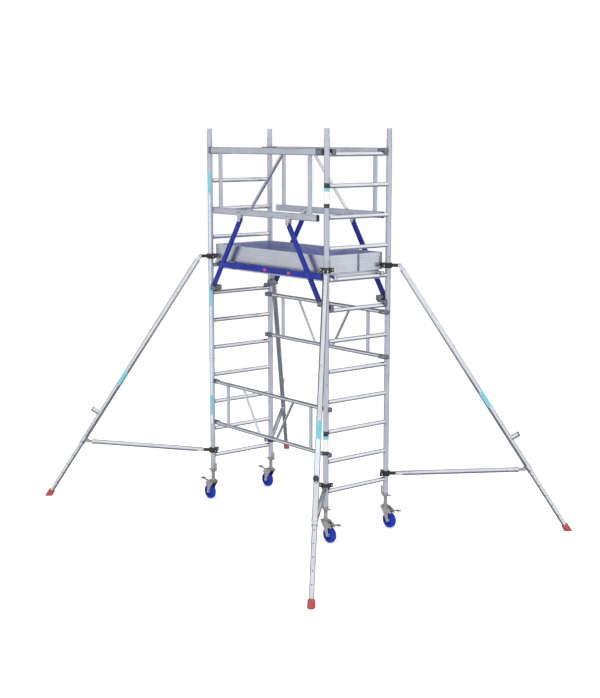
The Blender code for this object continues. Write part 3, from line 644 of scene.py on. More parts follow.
def caster(corner):
    at = caster_frame(corner)
    low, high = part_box(f"{corner}_leg_spindle")
    piece = Piece(at)
    threaded(piece, low[2] + 0.012, THREAD_TOP)
    turned(piece, [(SPINDLE_R - 0.002, THREAD_TOP - 0.001), (SPINDLE_R - 0.0004, THREAD_TOP + 0.001),
                   (SPINDLE_R - 0.0004, high[2] - 0.002), (SPINDLE_R - 0.003, high[2])], zinc, 32)
    turned(piece, [(0.012, low[2]), (0.029, low[2]), (0.030, low[2] + 0.001), (0.030, low[2] + 0.007),
                   (0.029, low[2] + 0.008), (0.019, low[2] + 0.009), (0.0175, low[2] + 0.016)], zinc, 40)
    piece.finish(f"{corner}_threaded_leg", f"{corner}_leg", "zinc_steel", f"{corner}_leg_spindle")

    low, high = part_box(f"{corner}_adjusting_nut")
    base, top = low[2], NUT_TOP
    piece = Piece(at)
    turned(piece, [(0.0188, base), (0.0275, base), (0.0290, base + 0.002), (0.0290, base + 0.012),
                   (0.0262, base + 0.015), (0.0262, top - 0.006), (0.0290, top - 0.004), (0.0290, top),
                   (0.0188, top)], zinc, 40, wrap=True)
    slab(piece, [(0.020, base + 0.004), (0.066, base + 0.007), (0.080, base + 0.010), (0.080, base + 0.016),
                 (0.064, base + 0.019), (0.020, base + 0.021)], (-0.0055, 0.0055), zinc, 0.0016)
    slab(piece, [(-0.056, base + 0.006), (-0.020, base + 0.004), (-0.020, base + 0.020),
                 (-0.049, base + 0.020), (-0.049, high[2] - 0.006), (-0.053, high[2]),
                 (-0.056, high[2] - 0.004)], (-0.009, 0.009), zinc, 0.0012)
    dome(piece, (-0.049, 0, high[2] - 0.022), (1, 0, 0), 0.0045, 0.003, bright_zinc)
    piece.finish(f"{corner}_wing_nut", f"{corner}_nut", "zinc_steel", f"{corner}_adjusting_nut")

    low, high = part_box(f"{corner}_caster_fork")
    plate = FORK_PLATE_Z
    piece = Piece(at)
    block(piece, (-0.042, 0.042), (-0.036, 0.036), (plate - 0.0055, plate - 0.0004), zinc, 0.0018)
    turned(piece, [(0.0105, plate - 0.020), (0.034, plate - 0.018), (0.0365, plate - 0.013),
                   (0.0365, plate - 0.008), (0.033, plate - 0.0055), (0.0105, plate - 0.0055)], zinc, 48,
           wrap=True)
    turned(piece, [(0.0100, plate - 0.020), (0.0104, plate), (0.0104, high[2] - 0.002), (0.0090, high[2])],
           bright_zinc, 24)
    cheek = [(-0.036, plate - 0.010), (-0.030, plate - 0.024), (0.010, plate - 0.075)]
    eye = [(TRAIL + 0.0175 * math.cos(a), WHEEL_R + 0.0175 * math.sin(a))
           for a in (math.radians(200 + 20 * i) for i in range(11))]
    crown = [(0.1018, 0.1470), (0.1010, 0.1540), (0.0980, 0.1620), (0.0925, 0.1705), (0.0850, 0.1780),
             (0.0755, 0.1850), (0.0640, 0.1910), (0.0510, 0.1965), (0.0400, plate - 0.004)]
    cheek += eye + [(0.070, 0.125), (0.064, 0.141), (0.068, 0.147)] + crown
    hood = crown + [(x - 0.0026, z - 0.0026) for x, z in reversed(crown)]
    for y in (-1, 1):
        pair = sorted((y * 0.0286, y * 0.0324))
        slab(piece, cheek, pair, zinc, 0.0010)
        slab(piece, hood, sorted((y * 0.0142, y * 0.0290)), zinc, 0.0004)
        bolt(piece, (TRAIL, y * 0.0322, WHEEL_R), (0, y, 0), bright_zinc, 0.0072, 0.0060)
    tube(piece, (TRAIL, -0.032, WHEEL_R), (TRAIL, 0.032, WHEEL_R), 0.0058, 0.0, bright_zinc, 20)
    for y in (-1, 1):
        for x in (-0.030, 0.030):
            bolt(piece, (x, y * 0.028, plate - 0.0006), (0, 0, 1), bright_zinc, 0.0042, 0.0030, False)
    piece.finish(f"{corner}_pressed_fork", f"{corner}_fork", "zinc_steel", f"{corner}_caster_fork")

    axle = at @ Matrix.Translation((TRAIL, 0, WHEEL_R)) @ Matrix.Rotation(math.pi / 2, 4, "X")
    piece = Piece(axle)
    w = WHEEL_HALF_WIDTH
    turned(piece, mirrored([(0.050, w - 0.003), (0.060, w), (0.067, w - 0.001), (0.0722, w - 0.006),
                            (0.0744, 0.012), (WHEEL_R - 0.0002, 0.0)]), blue_wheel, 96, wrap=True)
    turned(piece, mirrored([(0.020, 0.010), (0.047, 0.008), (0.0505, w - 0.004)]), blue_wheel, 72,
           wrap=True)
    turned(piece, mirrored([(0.0072, w + 0.0015), (0.0150, w + 0.0015), (0.0185, w - 0.001),
                            (0.0215, 0.009)]), hub_blue, 48, wrap=True)
    for k in range(5):
        spoke = axle @ Matrix.Rotation(2 * math.pi * k / 5, 4, "Z")
        block(piece, (0.019, 0.049), (-0.0035, 0.0035), (-0.0180, 0.0180), blue_wheel, 0.0012, at=spoke)
    piece.finish(f"{corner}_moulded_wheel", f"{corner}_wheel", "blue_wheel", f"{corner}_caster_wheel")

    piece = Piece(at)
    x, z = PEDAL_PIVOT
    tube(piece, (x, -0.027, z), (x, 0.027, z), 0.0060, 0.0, bright_zinc, 24)
    slab(piece, [(x - 0.004, z - 0.004), (x + 0.004, z - 0.005), (0.150, 0.1815), (0.203, 0.1885),
                 (0.203, 0.1925), (0.148, 0.188), (x, z + 0.005)], (-0.0105, 0.0105), zinc, 0.0010)
    block(piece, (0.158, 0.204), (-0.021, 0.021), (0.1875, 0.1960), zinc, 0.0022)
    for k in range(6):
        block(piece, (0.163 + 0.0065 * k, 0.1665 + 0.0065 * k), (-0.018, 0.018), (0.1955, 0.1986),
              zinc if k > 1 else dark_plastic_and_hole_shade, 0.0007)
    piece.finish(f"{corner}_foot_brake", f"{corner}_pedal", "pedal_grey", f"{corner}_brake_pedal")


# Deck, hatch and toe boards

BEAM_Y = (0.265, 0.305)
BEAM_END = 0.862
CROSS_BEAMS = (-0.842, 0.842, -0.203, 0.357)
BOARD_THICK = 0.018
GROOVE_PLACES = (0.058, 0.038, 0.016, -0.016, -0.038, -0.058)


def deck():
    low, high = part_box("deck_frame")
    beam_in, beam_out = BEAM_Y
    middle, half_depth = (low[2] + high[2]) / 2, (high[2] - low[2]) / 2
    lip = high[0]
    piece = Piece()
    for side in (-1, 1):
        y = side * (beam_in + beam_out) / 2
        outline = rounded(half_depth - 0.0002, (beam_out - beam_in) / 2, 0.004)
        bar(piece, (-BEAM_END, y, middle), (BEAM_END, y, middle), outline, board_metal, level=(0, 1, 0))
        for end in (-1, 1):
            hook_y = (y - 0.018, y + 0.018)
            hook = [(end * 0.840, 2.4510), (end * (lip - 0.0085), 2.4510), (end * (lip - 0.0085), 2.424),
                    (end * (lip - 0.002), 2.4225), (end * lip, 2.427), (end * lip, 2.462),
                    (end * (lip - 0.006), 2.4695), (end * 0.840, 2.4695)]
            slab(piece, hook, hook_y, bright_zinc, 0.0014)
            for rivet in (0.800, 0.825):
                dome(piece, (end * rivet, side * beam_out, 2.440), (0, side, 0), 0.0045, 0.0018,
                     bright_zinc)
    for x in CROSS_BEAMS:
        half = 0.020 if abs(x) > 0.5 else 0.017
        outline = rounded(half_depth - 0.0006, half, 0.003)
        bar(piece, (x, -beam_in - 0.001, middle), (x, beam_in + 0.001, middle), outline, board_metal)
    piece.finish("deck_beams", "tower", "board_aluminium", "deck_frame")

    low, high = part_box("deck_panel")
    lid_low, lid_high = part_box("hatch")
    gap = 0.003
    z = (low[2], high[2])
    piece = Piece()
    spans = (((low[0], lid_low[0] - gap), (low[1], high[1])),
             ((lid_high[0] + gap, high[0]), (low[1], high[1])),
             ((lid_low[0] - gap, lid_high[0] + gap), (low[1], lid_low[1] - gap)),
             ((lid_low[0] - gap, lid_high[0] + gap), (lid_high[1] + gap, high[1])))
    for x, y in spans:
        block(piece, x, y, (z[0], z[1] - 0.0012), board_metal, 0.0004)
        block(piece, x, y, (z[1] - 0.0014, z[1]), deck_film, 0.0004)
    for side in (-1, 1):
        for k in range(9):
            dome(piece, (-0.80 + 0.2 * k, side * 0.285, z[1]), (0, 0, 1), 0.0050, 0.0009, bright_zinc)
    piece.finish("deck_plywood", "tower", "deck_blue", "deck_panel")

    piece = Piece()
    x, y, z = ((lid_low[axis], lid_high[axis]) for axis in range(3))
    grip_x, grip_y = (-0.560, -0.470), (-0.245, -0.215)
    parts = ((x, (grip_y[1], y[1])), (x, (y[0], grip_y[0])), ((x[0], grip_x[0]), grip_y),
             ((grip_x[1], x[1]), grip_y))
    for part_x, part_y in parts:
        block(piece, part_x, part_y, (z[0], z[1] - 0.0012), deck_edge, 0.0003)
        block(piece, part_x, part_y, (z[1] - 0.0014, z[1]), deck_film, 0.0003)
    rim = rounded((grip_x[1] - grip_x[0]) / 2 + 0.006, (grip_y[1] - grip_y[0]) / 2 + 0.006, 0.008)
    inner = rounded((grip_x[1] - grip_x[0]) / 2 - 0.001, (grip_y[1] - grip_y[0]) / 2 - 0.001, 0.006)
    centre = Vector(((grip_x[0] + grip_x[1]) / 2, (grip_y[0] + grip_y[1]) / 2, z[1]))
    hollow_bar(piece, centre, centre + Vector((0, 0, 0.0018)), rim, inner, bright_zinc, level=(0, 1, 0))
    for hinge_x in (x[0] + 0.09, x[1] - 0.09):
        block(piece, (hinge_x - 0.035, hinge_x + 0.035), (y[1] - 0.032, y[1] - 0.004),
              (z[1] - 0.0002, z[1] + 0.0018), bright_zinc, 0.0006)
        for dx in (-0.024, 0.0, 0.024):
            dome(piece, (hinge_x + dx, y[1] - 0.022, z[1] + 0.0017), (0, 0, 1), 0.0036, 0.0012, cast_grey)
    piece.finish("trapdoor", "hatch", "deck_blue", "hatch")


def board_outline(height, thick):
    """A toe board's section: X is its height and Y its thickness, with grooves down its faces."""
    half_h, half_t = height / 2, thick / 2
    points = [(half_h - 0.002, half_t)]
    for place in GROOVE_PLACES:
        points += [(place + GROOVE, half_t), (place + GROOVE * 0.6, half_t - GROOVE),
                   (place - GROOVE * 0.6, half_t - GROOVE), (place - GROOVE, half_t)]
    points += [(-half_h + 0.002, half_t), (-half_h, half_t - 0.002), (-half_h, -half_t + 0.002)]
    return points + [(-x, -y) for x, y in points]


def toe_board(side):
    node = f"{side}_toe_board"
    low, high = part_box(node)
    thick = BOARD_THICK
    middle = (low[2] + high[2]) / 2
    outline = board_outline(high[2] - low[2], thick)
    piece = Piece()
    if side in ("front", "back"):
        sign = -1 if side == "front" else 1
        y = (low[1] + thick / 2) if sign < 0 else (high[1] - thick / 2)
        bar(piece, (low[0], y, middle), (high[0], y, middle), outline, board_metal, level=(0, 1, 0))
        foot = sorted((sign * 0.288, y))
        block(piece, (-0.80, 0.80), foot, (low[2] + 0.0005, low[2] + 0.0030), board_metal, 0.0006)
        for end in (low[0] + 0.016, high[0] - 0.016):
            cap_x = (end - 0.016, end + 0.016)
            face = y + sign * thick / 2
            block(piece, cap_x, sorted((face - sign * 0.001, face + sign * 0.0022)),
                  (low[2] + 0.002, high[2] - 0.002), bright_zinc, 0.0008)
            for z in (middle - 0.055, middle + 0.055):
                bolt(piece, (end, face + sign * 0.0020, z), (0, sign, 0), cast_grey, 0.0045, 0.0030, False)
    else:
        sign = -1 if side == "left" else 1
        x = (low[0] + thick / 2) if sign < 0 else (high[0] - thick / 2)
        bar(piece, (x, low[1], middle), (x, high[1], middle), outline, board_metal, level=(-1, 0, 0))
        foot = sorted((sign * 0.8365, x))
        block(piece, foot, (-0.27, 0.27), (low[2] + 0.0005, low[2] + 0.0030), board_metal, 0.0006)
        face = x + sign * thick / 2
        block(piece, sorted((face - sign * 0.001, face + sign * 0.0018)), (0.030, 0.054),
              (low[2] + 0.002, high[2] - 0.002), cast_grey, 0.0006)
        for y in (low[1] + 0.014, high[1] - 0.014):
            block(piece, sorted((face - sign * 0.001, face + sign * 0.0022)), (y - 0.013, y + 0.013),
                  (low[2] + 0.002, high[2] - 0.002), bright_zinc, 0.0008)
            # A thin dark block stands for the open slot: painted shade in place of the slot.
            painted_slot_shade = sorted((face + sign * 0.0018, face + sign * 0.0025))
            block(piece, painted_slot_shade, (y - 0.003, y + 0.003), (middle - 0.045, middle + 0.045), dark_plastic_and_hole_shade,
                  0.0003)
            for z in (low[2] + 0.014, high[2] - 0.014):
                bolt(piece, (face + sign * 0.0020, y, z), (sign, 0, 0), cast_grey, 0.0045, 0.0030, False)
    piece.finish(f"{side}_kick_board", "tower", "board_aluminium", node)


# Guardrails, drawn for the front and turned half a turn for the back

RAIL_Y = -0.395
TOP_RAIL_Z = 3.570
KNEE_RAIL_Z = 2.982
RAIL_HALF = (0.0310, 0.0175)
KNEE_END = 0.803
UPRIGHT_X = 0.690
STRUT_TOP = (0.375, 2.905)
STRUT_FOOT = (0.822, 2.235)
CLAW_FACE = 0.868
CROSS_RAIL_Z = 2.456
CROSS_RAIL_X = (-0.725, 0.862)
RAKE_HALF = 0.275
RAKE_SHIFT = 0.040         # of the raker's middle, towards the same end of the tower on both sides
LIP = 0.9212
LEVEL = (0, 1, 0)
TOP_CLAW_RUNG = 3.550
FOOT_CLAW_RUNG = 2.150
TOP_CLAW_Y = (-0.3345, -0.2910)
FOOT_CLAW_Y = (-0.3445, -0.3110)


def front_frame(side):
    return Matrix.Identity(4) if side == "front" else Matrix.Rotation(math.pi, 4, "Z")


def rung_claw(piece, side, inner_x, rung_z, y):
    """A claw over a rung, with a lip down its outer side and a sprung catch under it."""
    low = rung_z + RUNG_R + 0.0004
    hook = [(side * inner_x, low), (side * LIP, low), (side * LIP, rung_z - 0.004),
            (side * (LIP + 0.004), rung_z - 0.006), (side * (LIP + 0.0095), rung_z),
            (side * (LIP + 0.0095), low + 0.018), (side * (LIP + 0.001), low + 0.0275),
            (side * inner_x, low + 0.0275)]
    slab(piece, hook, y, cast_grey, 0.0018)
    middle = (y[0] + y[1]) / 2
    bolt(piece, (side * (inner_x + 0.028), middle, low + 0.0272), (0, 0, 1), bright_zinc, 0.0050, 0.0035)


def guardrail(side):
    node = f"{side}_guardrail"
    shift = RAKE_SHIFT if side == "front" else -RAKE_SHIFT
    outer = rounded(RAIL_HALF[0], RAIL_HALF[1], 0.010, 6)
    inner = rounded(RAIL_HALF[0] - 0.0025, RAIL_HALF[1] - 0.0025, 0.0075, 6)
    piece = Piece(front_frame(side))
    for z, reach in ((TOP_RAIL_Z, CLAW_FACE - 0.001), (KNEE_RAIL_Z, KNEE_END - 0.003)):
        hollow_bar(piece, (-reach, RAIL_Y, z), (reach, RAIL_Y, z), outer, inner, post_metal, LEVEL)
    plug = rounded(RAIL_HALF[0] - 0.0004, RAIL_HALF[1] - 0.0004, 0.010, 6)
    for end in (-1, 1):
        bar(piece, (end * (KNEE_END - 0.0035), RAIL_Y, KNEE_RAIL_Z), (end * KNEE_END, RAIL_Y, KNEE_RAIL_Z),
            plug, dark_plastic_and_hole_shade, LEVEL)
        x = end * UPRIGHT_X
        bar(piece, (x, RAIL_Y, KNEE_RAIL_Z + RAIL_HALF[0] - 0.002),
            (x, RAIL_Y, TOP_RAIL_Z - RAIL_HALF[0] + 0.002), rounded(0.019, 0.0125, 0.004), post_metal,
            LEVEL)
        weld = rounded(0.0210, 0.0145, 0.005)
        for z in (KNEE_RAIL_Z + RAIL_HALF[0] - 0.001, TOP_RAIL_Z - RAIL_HALF[0] - 0.002):
            bar(piece, (x, RAIL_Y, z), (x, RAIL_Y, z + 0.003), weld, post_metal, LEVEL)
    drop = RAIL_HALF[0] - 0.002
    slope = 2 * RAKE_HALF / (TOP_RAIL_Z - KNEE_RAIL_Z)
    tube(piece, (RAKE_HALF + shift - slope * drop, RAIL_Y, TOP_RAIL_Z - drop),
         (-RAKE_HALF + shift + slope * drop, RAIL_Y, KNEE_RAIL_Z + drop), 0.0150, 0.0, leg_metal, 32)
    for end in (-1, 1):
        sleeve = 0.042 if end < 0 else 0.080
        x = sorted((end * (CLAW_FACE - sleeve), end * (CLAW_FACE - 0.0006)))
        outline = rounded(RAIL_HALF[0] + 0.0008, RAIL_HALF[1] + 0.0008, 0.0105, 6)
        bar(piece, (x[0], RAIL_Y, TOP_RAIL_Z), (x[1], RAIL_Y, TOP_RAIL_Z), outline, cast_grey, LEVEL)
        arm = sorted((end * (CLAW_FACE - 0.040), end * (CLAW_FACE - 0.001)))
        block(piece, arm, (RAIL_Y + RAIL_HALF[1] - 0.002, TOP_CLAW_Y[1]),
              (TOP_RAIL_Z - 0.0245, TOP_RAIL_Z + 0.0245), cast_grey, 0.003)
        rung_claw(piece, end, CLAW_FACE - 0.030, TOP_CLAW_RUNG, TOP_CLAW_Y)
        for bx in (0.012, 0.030):
            bolt(piece, (end * (CLAW_FACE - bx), RAIL_Y - RAIL_HALF[1] - 0.0008, TOP_RAIL_Z), (0, -1, 0),
                 bright_zinc, 0.0050, 0.0032, False)
        x = end * STRUT_TOP[0]
        for cheek in (-1, 1):
            y = sorted((RAIL_Y + cheek * 0.0131, RAIL_Y + cheek * (RAIL_HALF[1] + 0.0016)))
            ear = [(x - 0.030, KNEE_RAIL_Z - 0.012), (x + 0.030, KNEE_RAIL_Z - 0.012),
                   (x + 0.020, STRUT_TOP[1] - 0.004), (x + 0.012, STRUT_TOP[1] - 0.016),
                   (x - 0.012, STRUT_TOP[1] - 0.016), (x - 0.020, STRUT_TOP[1] - 0.004)]
            slab(piece, ear, y, bright_zinc, 0.0008)
            face = RAIL_Y + cheek * (RAIL_HALF[1] + 0.0014)
            out = (0, cheek, 0)
            bolt(piece, (x, face, STRUT_TOP[1] + 0.001), out, bright_zinc, 0.0065, 0.0050)
            dome(piece, (x - 0.018, face, KNEE_RAIL_Z - 0.002), out, 0.0050, 0.0022, dark_plastic_and_hole_shade)
            dome(piece, (x + 0.018, face, KNEE_RAIL_Z - 0.002), out, 0.0050, 0.0022, dark_plastic_and_hole_shade)
    stud = (-KNEE_END + 0.012, RAIL_Y - RAIL_HALF[1], KNEE_RAIL_Z + 0.010)
    dome(piece, stud, (0, -1, 0), 0.0070, 0.0050, dark_plastic_and_hole_shade)
    piece.finish(f"{side}_rail_panel", "tower", "post_aluminium", node)


def strut_set(side):
    node = f"{side}_guardrail_legs"
    profile = rounded(0.0250, 0.0125, 0.0050)
    piece = Piece(front_frame(side))
    for end in (-1, 1):
        foot = Vector((end * STRUT_FOOT[0], RAIL_Y, STRUT_FOOT[1]))
        top = Vector((end * STRUT_TOP[0], RAIL_Y, STRUT_TOP[1]))
        along = (top - foot).normalized()
        bar(piece, foot, top - along * 0.012, profile, blue_paint, LEVEL)
        bar(piece, top - along * 0.030, top + along * 0.011, rounded(0.0140, 0.0115, 0.0040), cast_grey,
            LEVEL)
        bar(piece, foot - along * 0.004, foot + along * 0.012, rounded(0.0254, 0.0128, 0.0050),
            dark_plastic_and_hole_shade, LEVEL)
        x = sorted((end * (CLAW_FACE - 0.062), end * CLAW_FACE))
        block(piece, x, (RAIL_Y - 0.0118, FOOT_CLAW_Y[1]), (2.1855, 2.2355), cast_grey, 0.0030)
        rung_claw(piece, end, CLAW_FACE - 0.045, FOOT_CLAW_RUNG, FOOT_CLAW_Y)
        for bx in (0.016, 0.046):
            bolt(piece, (end * (CLAW_FACE - bx), RAIL_Y - 0.0117, 2.212), (0, -1, 0), bright_zinc, 0.0052,
                 0.0040, False)
    bar(piece, (CROSS_RAIL_X[0], RAIL_Y, CROSS_RAIL_Z), (CROSS_RAIL_X[1], RAIL_Y, CROSS_RAIL_Z),
        rounded(0.0273, 0.0119, 0.0045), blue_paint, LEVEL)
    bar(piece, (CROSS_RAIL_X[1] - 0.0005, RAIL_Y, CROSS_RAIL_Z),
        (CROSS_RAIL_X[1] + 0.0025, RAIL_Y, CROSS_RAIL_Z), rounded(0.0275, 0.0121, 0.0045), dark_plastic_and_hole_shade,
        LEVEL)
    for x in (0.030, 0.390):
        block(piece, (x - 0.022, x + 0.022), (RAIL_Y - 0.0124, RAIL_Y - 0.0110),
              (CROSS_RAIL_Z - 0.012, CROSS_RAIL_Z + 0.012), red_mark, 0.0005)
        dome(piece, (x, RAIL_Y - 0.0122, CROSS_RAIL_Z), (0, -1, 0), 0.0055, 0.0024, cast_grey)
    lean = (STRUT_FOOT[0] - STRUT_TOP[0]) / (STRUT_TOP[1] - STRUT_FOOT[1])
    for end in (-1, 1):
        for z in (CROSS_RAIL_Z - 0.012, CROSS_RAIL_Z + 0.012):
            reach = STRUT_FOOT[0] - (z - STRUT_FOOT[1]) * lean
            dome(piece, (end * reach, RAIL_Y - 0.0124, z), (0, -1, 0), 0.0042, 0.0018, bright_zinc)
    piece.finish(f"{side}_blue_struts", "tower", "blue_paint", node)


# Braces

BRACE_Y = -0.352
BRACE_REACH = 0.866
BRACE_UPRIGHT_X = 0.654
BRACE_CLAW_HALF = 0.0195
BRACE_RAKER_X = (0.1395, 0.3905)   # at its foot and its top


def brace(side):
    node = f"{side}_brace"
    low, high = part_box(node)
    bottom, top = low[2] + BRACE_CLAW_HALF, high[2] - BRACE_CLAW_HALF
    y, reach = BRACE_Y, BRACE_REACH
    piece = Piece(front_frame(side))
    for z in (bottom, top):
        tube(piece, (-reach, y, z), (reach, y, z), 0.0190, 0.0170, leg_metal, 40)
    for end in (-1, 1):
        x = end * BRACE_UPRIGHT_X
        tube(piece, (x, y, bottom + 0.016), (x, y, top - 0.016), 0.0165, 0.0, post_metal, 32)
        tube(piece, (end * BRACE_RAKER_X[0], y, bottom + 0.015), (end * BRACE_RAKER_X[1], y, top - 0.015),
             0.0125, 0.0, leg_metal, 28)
        for z in (bottom + 0.0185, top - 0.0185):
            hoop(piece, (x, y, z), (0, 0, 1), 0.0165, 0.0022, post_metal, 32, 0.12)
        for z in (bottom, top):
            span = sorted((end * (reach - 0.032), end * (reach + 0.002)))
            tube(piece, (span[0], y, z), (span[1], y, z), 0.0212, 0.0, cast_grey, 32, 0.002)
            claw = [(end * (reach - 0.030), -0.3480), (end * 0.9268, -0.3480), (end * 0.9268, -0.3725),
                    (end * 0.9340, -0.3725), (end * 0.9340, -0.3300), (end * 0.9240, -0.3205),
                    (end * (reach - 0.030), -0.3205)]
            lay = piece.at @ Matrix.Translation((0, 0, z)) @ Matrix.Rotation(-math.pi / 2, 4, "X")
            slab(piece, claw, (-BRACE_CLAW_HALF + 0.0006, BRACE_CLAW_HALF - 0.0006), cast_grey, 0.0016, lay)
            bolt(piece, (end * 0.905, -0.3206, z), (0, 1, 0), bright_zinc, 0.0052, 0.004)
    piece.finish(f"{side}_brace_panel", "tower", "post_aluminium", node)


# Stabilisers, drawn with X away from the post

PIVOT_R = 0.110
TOP_PIVOT_Z = 2.520
LOW_PIVOT_Z = 0.525
LEG_END = 2.322
PEG_AT = 1.950
BUTTON_AT = 0.916
TIP = 2.932
HOLE_PITCH = 0.113
EAR_AT = 2.270
EAR_OFFSET = 0.045


def post_clamp(corner, level):
    node = f"{corner}_{level}_clamp"
    low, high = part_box(node)
    half = (high[2] - low[2]) / 2
    at = stabiliser_frame(corner) @ Matrix.Translation((0, 0, (low[2] + high[2]) / 2))
    piece = Piece(at)
    turned(piece, mirrored([(0.0262, half), (0.0370, half), (0.0400, half - 0.004), (0.0400, 0.007),
                            (0.0375, 0.004)]), black_paint, 56, wrap=True)
    block(piece, (0.032, PIVOT_R - 0.004), (-0.0124, 0.0124), (-0.0148, 0.0148), black_paint, 0.0025)
    eye = at @ Matrix.Translation((PIVOT_R, 0, 0)) @ Matrix.Rotation(math.pi / 2, 4, "X")
    turned(piece, mirrored([(0.0060, 0.0122), (0.0165, 0.0122), (0.0180, 0.0105)]), black_paint, 40,
           wrap=True, at=eye)
    for side in (-1, 1):
        lug = at @ Matrix.Rotation(math.radians(130 * side), 4, "Z")
        block(piece, (0.034, 0.078), (-0.0098, 0.0098), (-0.0198, 0.0198), black_paint, 0.0030, lug)
        for y in (-1, 1):
            face, out = (0.062, y * 0.0096, 0), (0, y, 0)
            if y * side > 0:
                bolt(piece, face, out, bright_zinc, 0.0080, 0.0065, at=lug)
            else:
                dome(piece, face, out, 0.0085, 0.0035, bright_zinc, lug)
    for ang in (60, -60):
        rib = at @ Matrix.Rotation(math.radians(ang), 4, "Z")
        block(piece, (0.036, 0.0425), (-0.0045, 0.0045), (-0.016, 0.016), black_paint, 0.0018, at=rib)
    for y in (-1, 1):
        bolt(piece, (PIVOT_R, y * 0.0176, 0), (0, y, 0), bright_zinc, 0.0078, 0.0060)
    piece.finish(f"{corner}_{level}_coupler", f"{corner}_stabiliser", "clamp_black", node)


def fork_end(piece, radius):
    """The flattened fork at the end of a stabiliser tube, either side of a coupler's eye."""
    for side in (-1, 1):
        y = sorted((side * 0.0132, side * 0.0175))
        outline = [(0.0175 * math.cos(a), 0.0175 * math.sin(a))
                   for a in (math.radians(180 + 20 * i) for i in range(10))]
        outline += [(0.0175, 0.030), (radius * 0.8, 0.056), (-radius * 0.8, 0.056), (-0.0175, 0.030)]
        slab(piece, outline, y, leg_metal, 0.0010)
    turned(piece, [(radius * 0.80, 0.043), (radius, 0.048), (radius, 0.055), (radius * 0.9, 0.056)],
           leg_metal, 40)


